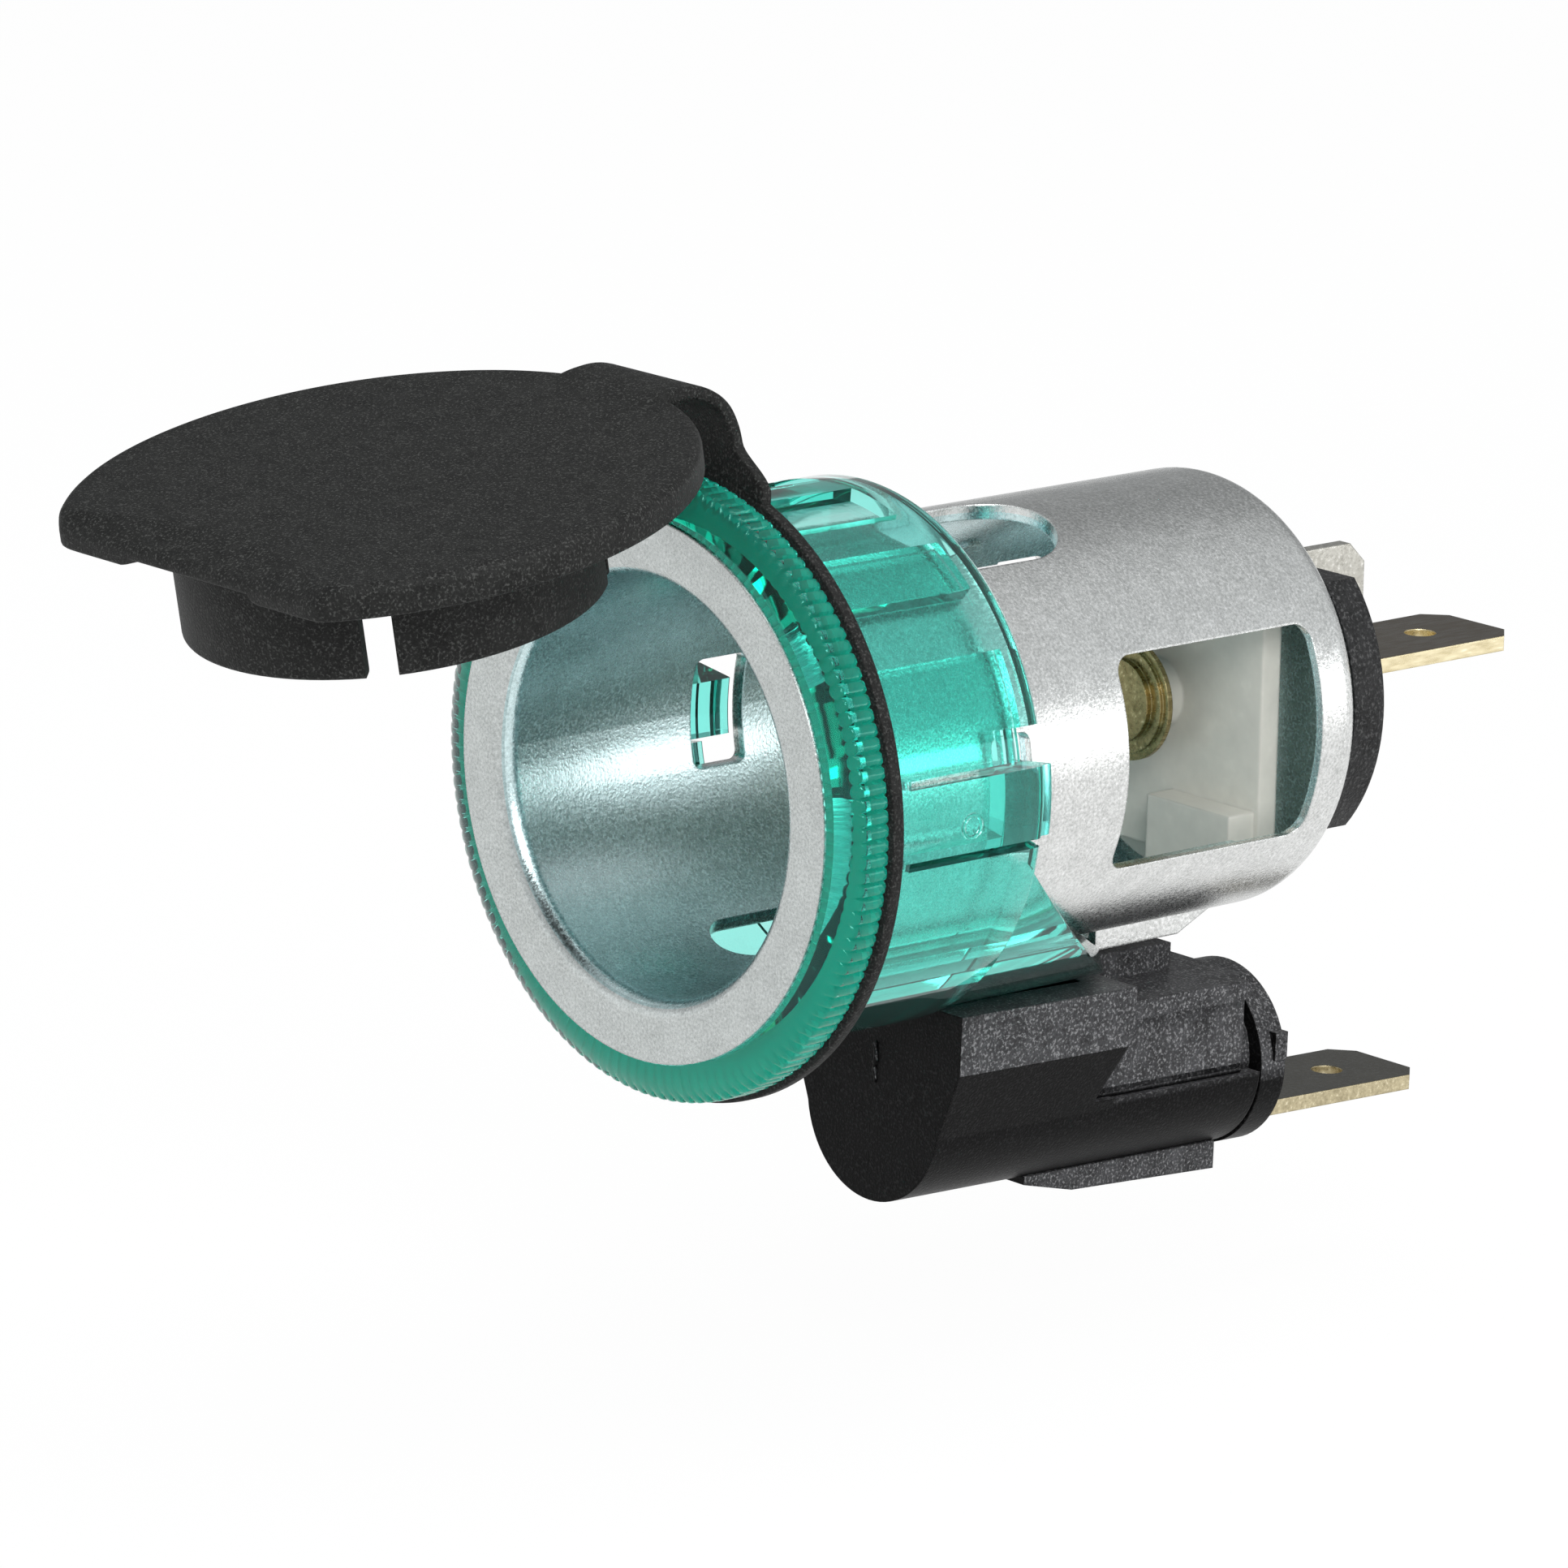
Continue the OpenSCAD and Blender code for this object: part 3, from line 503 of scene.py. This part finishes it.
# Rows run round the outline. Columns run from the centre of the top over the edge to the centre of the
# underside. A shallow scoop lowers the top along the straight end: it is widest in the middle.
def lidPlate(s, rows=288):
    turn = np.linspace(0, 2 * math.pi, rows, endpoint=False)
    outline = lidOutline(s, turn, 0)
    near, far = s["notchHalf"] - s["notchBlend"], s["notchHalf"] + s["notchBlend"]
    atEnd = outline[:, 1] < -s["chord"] * 0.9
    inNotch = (1 - smoothStep(near, far, np.abs(outline[:, 0]))) * atEnd
    depth = s["rim"] - (s["rim"] - s["plate"] - 0.03) * inNotch
    r, q, start = s["edgeRound"], s["lowerRound"], s["flatInset"]
    arc = np.linspace(0, math.pi / 2, 7)
    flat = np.zeros(rows)
    section = [(inset, flat) for inset in np.arange(start, 0.6, -0.25)]
    section += [(r - r * math.sin(a), flat + r * math.cos(a) - r) for a in arc]
    section += [(q - q * math.cos(a), q - q * math.sin(a) - depth) for a in arc[::2]]
    section += [
        (s["rimWidth"] - 0.1, -depth),
        (s["rimWidth"], 0.1 * (depth - s["plate"]) - depth),
        (s["rimWidth"] + 0.02, flat - s["plate"]),
    ]
    shrink = np.linspace(0, 1, 14)[:-1] ** 0.8
    topEdge, lowEdge = lidOutline(s, turn, start), lidOutline(s, turn, s["rimWidth"] + 0.02)
    columns = [np.column_stack([topEdge * k, flat]) for k in shrink]
    columns += [np.column_stack([lidOutline(s, turn, inset), height]) for inset, height in section]
    columns += [np.column_stack([lowEdge * k, flat - s["plate"]]) for k in shrink[::-2]]
    points = np.stack(columns, 1)
    top = points[..., 2] > -s["edgeRound"] - 0.01
    fromMiddle = points[..., 0] / s["scoopHalf"]
    width = s["scoopEnds"] + s["scoopWidth"] * np.clip(1 - fromMiddle ** 2, 0, 1)
    scoop = smoothStep(0, 1, 1 - (points[..., 1] + s["chord"]) / width)
    points[..., 2] -= np.where(top, s["scoop"] * scoop, 0)
    return points


# One quarter of the plug ring: a rounded rectangle carried along an arc.
def skirtQuarter(s, fromAngle, toAngle, top, bottom, steps=22):
    loop = roundedLoop(s["skirtInner"], s["skirtOuter"], bottom, top, 0.18)
    angle = np.linspace(fromAngle, toAngle, steps)[:, None]
    x, y = loop[:, 0] * np.cos(angle), loop[:, 0] * np.sin(angle)
    return np.stack([x, y, loop[:, 1] + 0 * angle], -1)


# The plate, a low whole ring that joins it to the plug ring, and the plug ring's four quarters.
def makeLid(s):
    half = s["slot"] / 2 / s["skirtOuter"]
    parts = [(lidPlace(lidPlate(s), s), True, False, False)]
    whole = skirtQuarter(s, 0, 2 * math.pi, -s["plate"] + 0.3, -s["rim"] - 0.05, 97)[:-1]
    parts.append((lidPlace(whole, s), True, True, False))
    for quarter in range(4):
        start = math.radians(90 * quarter - s["slotTurn"]) + half
        stop = start + math.pi / 2 - 2 * half
        arc = skirtQuarter(s, start, stop, -s["plate"], -s["skirtDepth"])
        parts.append((lidPlace(arc, s), False, True, True))
    makePiece("lidMoulding", parts, "blackSoft", "lid", 40, ("lid",))


makeLid(lidSet)

strapSet = {
    # outer face of the strap at its near edge, (y, z) from the lid to the ring
    "path": [
        (-4.2, 20.2), (-3.1, 20.62), (-1.6, 21.0), (0.04, 21.06), (1.1, 20.74), (2.16, 20.0),
        (2.82, 18.94), (3.16, 17.88), (3.3, 16.83), (3.25, 15.8), (3.2, 14.9),
    ],
    "thickness": 0.7, "half": 3.75, "flareHalf": 5.9, "flareFrom": 17.9, "flareTo": 15.6,
    "bendFrom": (3.2, 17.0), "bendTo": (-1.4, 20.9),  # (y, z) of the bend from socket to lid, which makePiece doesn't read, so the strap doesn't turn here
}


# The strap is a rounded rectangle carried along a smooth path through the given points.
# Its half width grows near the ring, where the strap runs out into the ring's edge.
def makeStrap(s):
    knots = np.array(s["path"])
    gap = np.concatenate([[0], np.cumsum(np.linalg.norm(np.diff(knots, axis=0), axis=1))])
    t = np.linspace(0, gap[-1], 61)
    slope = np.gradient(knots, gap, axis=0)
    k = np.clip(np.searchsorted(gap, t, side="right") - 1, 0, len(gap) - 2)
    d = (gap[k + 1] - gap[k])[:, None]
    w = ((t - gap[k])[:, None]) / d
    spine = (
        (2 * w ** 3 - 3 * w ** 2 + 1) * knots[k] + (w ** 3 - 2 * w ** 2 + w) * d * slope[k]
        + (3 * w ** 2 - 2 * w ** 3) * knots[k + 1] + (w ** 3 - w ** 2) * d * slope[k + 1]
    )
    along = np.gradient(spine, axis=0)
    along /= np.linalg.norm(along, axis=1, keepdims=True)
    inward = np.stack([along[:, 1], -along[:, 0]], -1)
    flare = smoothStep(s["flareFrom"], s["flareTo"], spine[:, 1])
    half = s["half"] + (s["flareHalf"] - s["half"]) * flare
    loop = roundedLoop(-1, 1, 0, s["thickness"], 0.12)
    across = np.sign(loop[:, 0]) * np.minimum(np.abs(loop[:, 0]), 1)
    x = across[None, :] * half[:, None]
    y = spine[:, 0, None] + inward[:, 0, None] * loop[None, :, 1]
    z = spine[:, 1, None] + inward[:, 1, None] * loop[None, :, 1]
    points = np.stack([x, y, z], -1)
    at = lambda v: (0, (v[0] - seatY) * mm, v[1] * mm)
    bend = ("socket", "lid", at(s["bendFrom"]), at(s["bendTo"]))
    parts = [(points, False, True, True)]
    makePiece("strapMoulding", parts, "blackSoft", bend, 40, ("hinge_strap",))


makeStrap(strapSet)
print("lid and strap made")


# the clear light ring

ringSet = {
    "teeth": 138, "perTooth": 6, "toothDepth": 0.24, "flange": 16.0, "rimSeat": 13.95, "rimBack": 0.9,
    "domeFrom": 0.12, "domeTo": 1.05, "back": 2.46, "grooveDepth": 0.3, "neck": 13.65, "seat": 3.2,
    "outer": 14.0, "inner": 12.3, "shellSeat": 11.55, "shellSeatTo": 4.0, "end": 14.5,
    "pocket": (5.0, 19.5), "pocketDepth": 0.7, "pocketY": (3.8, 12.5),
    "finger": 7.6, "slit": 1.85, "slitFrom": 5.7, "fingerEnd": 15.3, "hook": 11.05, "hookFrom": 12.7,
    "notch": (73.7, 81.3), "notchFrom": 12.9,
    "pads": ((26.5, 40.5), (56.0, 82.3), (126.5, 130.5), (135.0, 141.0)),
    "tongueOuter": 13.7, "tongueCut": (42.7, 22.2, 38.2), "tongueRear": 27.0, "tongueTop": -3.5,
}


# One closed surface on a grid. Columns run round the axis, six to a tooth, with a double column at
# each cut, so that its wall stands square. Rows run round the section: seat on the shell, rim seat,
# dome, toothed edge, grooved back, neck, tube outside, rear end, tube inside. Each row's radius and
# depth depend on the angle. A tooth is a flattened arch across its pitch. The rear end is pulled
# forward at the slits and the notch and back along the tongue, a pocket near the top is sunk into
# the tube, and the inner radius drops at the pads and the hooks.
def lightRing(s):
    even = np.linspace(0, 360, s["teeth"] * s["perTooth"], endpoint=False)
    upperSlit = (90 - s["finger"] - s["slit"], 90 - s["finger"])
    lowerSlit = (90 + s["finger"], 90 + s["finger"] + s["slit"])
    half = [s["pocket"], upperSlit, lowerSlit, s["notch"], *s["pads"]]
    tongueEdge = math.degrees(math.acos(s["tongueTop"] / s["tongueOuter"]))
    cuts = np.array([v for pair in half for v in pair] + [tongueEdge])
    cuts = np.concatenate([cuts, 360 - cuts])
    look = np.sort(np.concatenate([even, cuts - 1e-3, cuts + 1e-3]))
    angle = look.copy()
    for c in cuts:
        angle[np.abs(look - c) < 2e-3] = c
    side = np.minimum(look, 360 - look)  # degrees from the top, the same on both sides
    between = lambda pair: (side > pair[0]) & (side < pair[1])
    inPad = np.any([between(p) for p in s["pads"]], axis=0)
    inFinger = between((90 - s["finger"], 90 + s["finger"]))
    inSlit = between(upperSlit) | between(lowerSlit)
    z = s["tongueOuter"] * np.cos(np.radians(side))
    cutY, cutZ, cutR = s["tongueCut"]
    tongue = np.minimum(cutY - np.sqrt(cutR ** 2 - (z - cutZ) ** 2), s["tongueRear"])
    end = np.where(z < s["tongueTop"], np.maximum(tongue, s["end"]), s["end"])
    end = np.where(between(s["notch"]), s["notchFrom"], end)
    end = np.where(inFinger, s["fingerEnd"], end)
    end = np.where(inSlit, s["slitFrom"], end)
    pitch = look * s["teeth"] / 360 % 1
    lobe = 1 - (2 * pitch - 1) ** 4
    full = np.ones_like(look)
    base = s["flange"] - s["toothDepth"]
    seat = [
        (s["shellSeat"], s["shellSeatTo"]), (s["shellSeat"], s["rimBack"]),
        (s["rimSeat"], s["rimBack"]),
    ]
    rows = [(r * full, y * full) for r, y in seat]
    for t in np.linspace(0, math.pi / 2, 15):
        r = s["rimSeat"] + (base - s["rimSeat"]) * math.sin(t)
        y = s["domeTo"] - (s["domeTo"] - s["domeFrom"]) * math.cos(t)
        rise = s["toothDepth"] * smoothStep(0.3, 0.95, y)
        rows.append((r + rise * lobe * full, y * full))
    for y, rise in ((1.4, 1.0), (2.0, 1.0), (s["back"] - 0.14, 1.0), (s["back"] - 0.04, 0.7)):
        rows.append((base + s["toothDepth"] * rise * lobe, y * full))
    for step, groove in ((0.1, 1.0), (0.6, 0.9), (1.1, 0.6), (1.4, 0.15), (1.55, 0.0)):
        rows.append(((base - step) * full, s["back"] - s["grooveDepth"] * groove * (1 - lobe)))
    rows += [(s["neck"] * full, s["back"] * full), (s["neck"] * full, s["seat"] * full)]
    sunk = np.where(between(s["pocket"]), s["outer"] - s["pocketDepth"], s["outer"])
    p0, p1 = s["pocketY"]
    outer, tongueR = s["outer"], s["tongueOuter"]
    tube = [
        (outer, s["seat"]), (outer, p0), (sunk, p0), (sunk, p1), (outer, p1),
        (outer, s["end"] - 0.25), (outer - 0.08, s["end"] - 0.07),
        (tongueR, s["end"]), (tongueR, end - 0.2), (tongueR - 0.06, end - 0.06), (tongueR - 0.2, end),
    ]
    deep = np.where(inFinger, s["hook"], s["inner"])
    padR = np.where(inPad, s["shellSeat"], s["inner"])
    mid = np.where(inFinger, s["hook"], padR)
    padEnd = np.maximum(end - 0.5, s["hookFrom"])
    tube += [
        (deep + 0.12, end), (deep + 0.035, end - 0.035), (deep, end - 0.12), (deep, padEnd),
        (mid, padEnd), (mid, s["hookFrom"]), (padR, s["hookFrom"]), (padR, s["shellSeatTo"]),
    ]
    rows += [(r * full, np.minimum(y * full, end)) for r, y in tube]
    radius, depth = (np.stack(v) for v in zip(*rows))
    a = np.radians(angle)
    return np.stack([radius * np.sin(a), depth, radius * np.cos(a)], -1)


# The flange's finely grooved back takes the second finish, which scatters light through the clear front.
def makeLightRing(s):
    parts = [(lightRing(s), True, True, False)]
    ring = makePiece("clearRing", parts, "greenClear", "socket", 32, ("light_ring",))
    mesh = ring.data
    mesh.materials.append(mats["greenDeep"])
    centres = np.empty(3 * len(mesh.polygons))
    mesh.polygons.foreach_get("center", centres)
    centres = centres.reshape(-1, 3) / mm
    depth, radius = centres[:, 1] + seatY, np.hypot(centres[:, 0], centres[:, 2])
    onBack = (depth < s["back"] + 0.1) & (depth > s["back"] - 0.45)
    outsideNeck = radius > s["neck"] - 0.05
    back = onBack & outsideNeck & (radius < s["flange"] - s["toothDepth"] - 0.02)
    mesh.polygons.foreach_set("material_index", back.astype(np.int32))


makeLightRing(ringSet)

coverSet = {
    "outer": 16.25, "inner": 13.7, "step": 14.05, "front": 2.5, "middle": 2.85, "back": 3.2,
    "round": 0.12,
}


# The cover ring turns a section with a thin lip at the hole and a rounded outer edge round the axis.
def makeCoverRing(s, columns=192):
    c = s["round"]
    outer, front, rear = s["outer"], s["front"], s["back"]
    section = np.array([
        (s["inner"], front), (outer - c, front), (outer - 0.3 * c, front + 0.3 * c), (outer, front + c),
        (outer, rear - c), (outer - 0.3 * c, rear - 0.3 * c), (outer - c, rear),
        (s["step"], rear), (s["step"], s["middle"]), (s["inner"], s["middle"]),
    ])
    a = np.linspace(0, 2 * math.pi, columns, endpoint=False)[None, :]
    radius, depth = section[:, 0, None], section[:, 1, None]
    points = np.stack([radius * np.sin(a), depth + 0 * a, radius * np.cos(a)], -1)
    parts = [(points, True, True, False)]
    makePiece("coverMoulding", parts, "blackSoft", "socket", 40, ("cover_ring",))


makeCoverRing(coverSet)
print("clear ring and cover ring made")


# small marks that the moulds leave

markSet = {
    "fingerAngle": 92.0, "fingerY": 9.66, "fingerRadius": 14.0, "ring": 0.58, "bead": 0.12,
    "gate": (0.1, 16.0, -16.7), "gateHalf": 1.1, "gateWidth": 0.16, "gateRise": 0.1,
}


# A ring-shaped bead laid on the snap finger's outside, on both sides alike.
def makeFingerMarks(s):
    around = np.linspace(0, 2 * math.pi, 28, endpoint=False)[:, None]
    bead = np.linspace(0, 2 * math.pi, 8, endpoint=False)[None, :]
    reach = s["ring"] + s["bead"] * np.cos(bead)
    radius = s["fingerRadius"] + s["bead"] * np.sin(bead) + 0 * around
    parts = []
    for side in (1, -1):
        a = side * (math.radians(s["fingerAngle"]) + reach * np.cos(around) / s["fingerRadius"])
        y = s["fingerY"] + reach * np.sin(around)
        points = np.stack([radius * np.sin(a), y, radius * np.cos(a)], -1)
        parts.append((points, True, True, False))
    makePiece("fingerMarks", parts, "greenClear", "socket")


# The scar of the gate on the hood's front is a low upright ridge of uneven width.
def makeGateMark(s):
    x, y, z = s["gate"]
    t = np.linspace(-1, 1, 15)[:, None]
    loop = roundedLoop(-1, 1, -1, 1, 0.6, 4)
    width = s["gateWidth"] * (0.55 + 0.45 * np.cos(7.1 * t) ** 2) * np.sqrt(1.02 - t ** 2)
    rise = s["gateRise"] * (0.7 + 0.3 * np.sin(9.3 * t))
    across = x + width * loop[:, 0] + 0.05 * np.sin(5.3 * t)
    along = z + s["gateHalf"] * t + 0 * loop[:, 0]
    points = np.stack([across, y + rise * loop[:, 1], along], -1)
    makePiece("gateMark", [(points, False, True, True)], "blackPlastic", "socket")


makeFingerMarks(markSet)
makeGateMark(markSet)
print("mould marks made")


# the lamp carrier's flanks, which reach down to the trough's edge

flankSet = {
    "lamp": (16.0, -19.0), "tilt": -1.5, "outer": 4.75, "inner": 4.2, "top": 0.4, "bottom": -0.26,
    "front": (10.95, 10.75), "rear": 21.5, "round": 0.12,
}


# Each strip is a rounded rectangle carried along the lamp's axis. Its front end slants with the sleeve.
def makeFlanks(s):
    t = math.radians(s["tilt"])
    loop = roundedLoop(s["inner"], s["outer"], s["bottom"], s["top"], s["round"], 4)
    height = (loop[:, 1] - s["bottom"]) / (s["top"] - s["bottom"])
    front = s["front"][1] + (s["front"][0] - s["front"][1]) * height
    along = np.linspace(0, 1, 5)[:, None]
    y = front + (s["rear"] - front) * along
    x, z = loop[:, 0] + 0 * y, loop[:, 1] + 0 * y
    parts = []
    deep = s["lamp"][0] + y * math.cos(t) - z * math.sin(t)
    high = s["lamp"][1] + y * math.sin(t) + z * math.cos(t)
    for side in (1, -1):
        parts.append((np.stack([side * x, deep, high], -1), False, True, True))
    makePiece("carrierFlanks", parts, "blackPlastic", "carrier")


makeFlanks(flankSet)
print("carrier flanks made")


# camera, floor and light

cameraSet = {
    "azimuth": 49.685, "elevation": 13.982, "roll": 1.019,  # degrees round the mouth centre
    "distance": 486.95,  # mm from the mouth centre
    "focalPixels": 12069.3, "imageWidth": 1932, "centre": (788.38, 972.284),
    "sensor": 36, "clipStart": 0.01, "clipEnd": 20,
}


# The view is a turn about the mouth centre, and the shift puts that centre at its place in the photo.
def makeCamera(s):
    a, e, r = (math.radians(s[k]) for k in ("azimuth", "elevation", "roll"))
    target = Vector((0, -seatY * mm, 0))
    back = Vector((math.sin(a) * math.cos(e), -math.cos(a) * math.cos(e), math.sin(e)))
    right = Vector((math.cos(a), math.sin(a), 0))
    up = back.cross(right)
    turnedRight = right * math.cos(r) + up * math.sin(r)
    turnedUp = up * math.cos(r) - right * math.sin(r)
    data = bpy.data.cameras.new("camera")
    obj = bpy.data.objects.new("camera", data)
    bpy.context.scene.collection.objects.link(obj)
    m = Matrix((turnedRight, turnedUp, back)).transposed().to_4x4()
    m.translation = target + back * s["distance"] * mm
    obj.matrix_world = m
    data.sensor_fit = "HORIZONTAL"
    data.sensor_width = s["sensor"]
    data.lens = s["focalPixels"] / s["imageWidth"] * s["sensor"]
    half = s["imageWidth"] / 2
    data.shift_x = (half - s["centre"][0]) / s["imageWidth"]
    data.shift_y = (s["centre"][1] - half) / s["imageWidth"]
    data.clip_start = s["clipStart"]
    data.clip_end = s["clipEnd"]
    bpy.context.scene.camera = obj


makeCamera(cameraSet)

studio = {
    "floorDrop": 8.0,  # mm below the lowest point
    "floorHalf": 6.0,  # m
    "floorColor": (0.9, 0.9, 0.9),
    "floorRough": 0.9,
    "floorWhite": 0.96,  # share of the floor that is plain white to the camera and to reflections
    "worldColor": (0.97, 0.99, 1.0),
    "worldHorizon": 0.9, "worldTop": 0.55,
    # the world darkens towards shadeSide, from the first facing to the second, down to shadeLeft
    "shadeSide": (-0.76, 0.65, 0.1), "shadeFrom": (0.35, 0.9), "shadeLeft": 0.42,
    "lamps": {
        # name: (place in mm, size in mm, watts, aim in mm)
        "key": ((480, -260, 340), (240, 240), 2.3, (0, 15, 0)),
        "side": ((620, 520, 0), (460, 230), 1.15, (0, 15, 0)),
        "top": ((120, -20, 520), (420, 320), 1.5, (0, 15, 0)),
        "fill": ((-420, -430, 120), (320, 320), 0.1, (0, 0, 0)),
    },
}


# White that the camera and the reflections see, also through the clear parts, mixed over what the lamps
# light, so the shadow stays.
def seenDirectly(nodes, links, share):
    path = nodes.new("ShaderNodeLightPath")
    straight = nodes.new("ShaderNodeMath")
    straight.operation = "MAXIMUM"
    links.new(path.outputs["Is Camera Ray"], straight.inputs[0])
    links.new(path.outputs["Is Transmission Ray"], straight.inputs[1])
    either = nodes.new("ShaderNodeMath")
    either.operation = "MAXIMUM"
    links.new(straight.outputs[0], either.inputs[0])
    links.new(path.outputs["Is Glossy Ray"], either.inputs[1])
    scaled = nodes.new("ShaderNodeMath")
    scaled.operation = "MULTIPLY"
    scaled.inputs[1].default_value = share
    links.new(either.outputs[0], scaled.inputs[0])
    return scaled.outputs[0]


# A floor, a world that is plain to the camera and shaded by height and side to all other rays, and
# the lamps.
def makeStudio(s):
    scene = bpy.context.scene
    scene.view_settings.view_transform = "Standard"
    low = cadBox[0][2] - s["floorDrop"] * mm
    floorMesh = bpy.data.meshes.new("floor")
    r = s["floorHalf"]
    floorMesh.from_pydata([(-r, -r, low), (r, -r, low), (r, r, low), (-r, r, low)], [], [(0, 1, 2, 3)])
    floor = bpy.data.objects.new("floor", floorMesh)
    scene.collection.objects.link(floor)
    material, shader = newMaterial("floorWhite")
    shader.inputs["Base Color"].default_value = (*s["floorColor"], 1)
    shader.inputs["Roughness"].default_value = s["floorRough"]
    nodes, links = material.node_tree.nodes, material.node_tree.links
    white = nodes.new("ShaderNodeEmission")
    mix = nodes.new("ShaderNodeMixShader")
    links.new(seenDirectly(nodes, links, s["floorWhite"]), mix.inputs["Fac"])
    links.new(shader.outputs["BSDF"], mix.inputs[1])
    links.new(white.outputs[0], mix.inputs[2])
    links.new(mix.outputs[0], nodes["Material Output"].inputs["Surface"])
    floorMesh.materials.append(material)
    world = bpy.data.worlds.new("world")
    scene.world = world
    world.use_nodes = True
    nodes, links = world.node_tree.nodes, world.node_tree.links
    nodes.clear()
    out = nodes.new("ShaderNodeOutputWorld")
    lit = nodes.new("ShaderNodeBackground")
    lit.inputs["Color"].default_value = (*s["worldColor"], 1)
    coords = nodes.new("ShaderNodeTexCoord")
    split = nodes.new("ShaderNodeSeparateXYZ")
    links.new(coords.outputs["Generated"], split.inputs[0])
    height = nodes.new("ShaderNodeMapRange")
    height.inputs["To Min"].default_value = s["worldHorizon"]
    height.inputs["To Max"].default_value = s["worldTop"]
    links.new(split.outputs["Z"], height.inputs["Value"])
    toward = nodes.new("ShaderNodeVectorMath")
    toward.operation = "DOT_PRODUCT"
    toward.inputs[1].default_value = s["shadeSide"]
    links.new(coords.outputs["Generated"], toward.inputs[0])
    shade = nodes.new("ShaderNodeMapRange")
    shade.interpolation_type = "SMOOTHSTEP"
    shade.inputs["From Min"].default_value = s["shadeFrom"][0]
    shade.inputs["From Max"].default_value = s["shadeFrom"][1]
    shade.inputs["To Min"].default_value = 1
    shade.inputs["To Max"].default_value = s["shadeLeft"]
    links.new(toward.outputs["Value"], shade.inputs["Value"])
    strength = nodes.new("ShaderNodeMath")
    strength.operation = "MULTIPLY"
    links.new(height.outputs["Result"], strength.inputs[0])
    links.new(shade.outputs["Result"], strength.inputs[1])
    links.new(strength.outputs[0], lit.inputs["Strength"])
    seen = nodes.new("ShaderNodeBackground")
    path = nodes.new("ShaderNodeLightPath")
    mix = nodes.new("ShaderNodeMixShader")
    links.new(path.outputs["Is Camera Ray"], mix.inputs["Fac"])
    links.new(lit.outputs[0], mix.inputs[1])
    links.new(seen.outputs[0], mix.inputs[2])
    links.new(mix.outputs[0], out.inputs["Surface"])
    for name, (place, size, watts, aim) in s["lamps"].items():
        data = bpy.data.lights.new(name, "AREA")
        data.shape = "RECTANGLE"
        data.size, data.size_y = size[0] * mm, size[1] * mm
        data.energy = watts
        obj = bpy.data.objects.new(name, data)
        scene.collection.objects.link(obj)
        at = Vector(place) * mm
        obj.location = at
        obj.rotation_euler = (Vector(aim) * mm - at).to_track_quat("-Z", "Y").to_euler()


makeStudio(studio)
print("camera, floor and light ready")
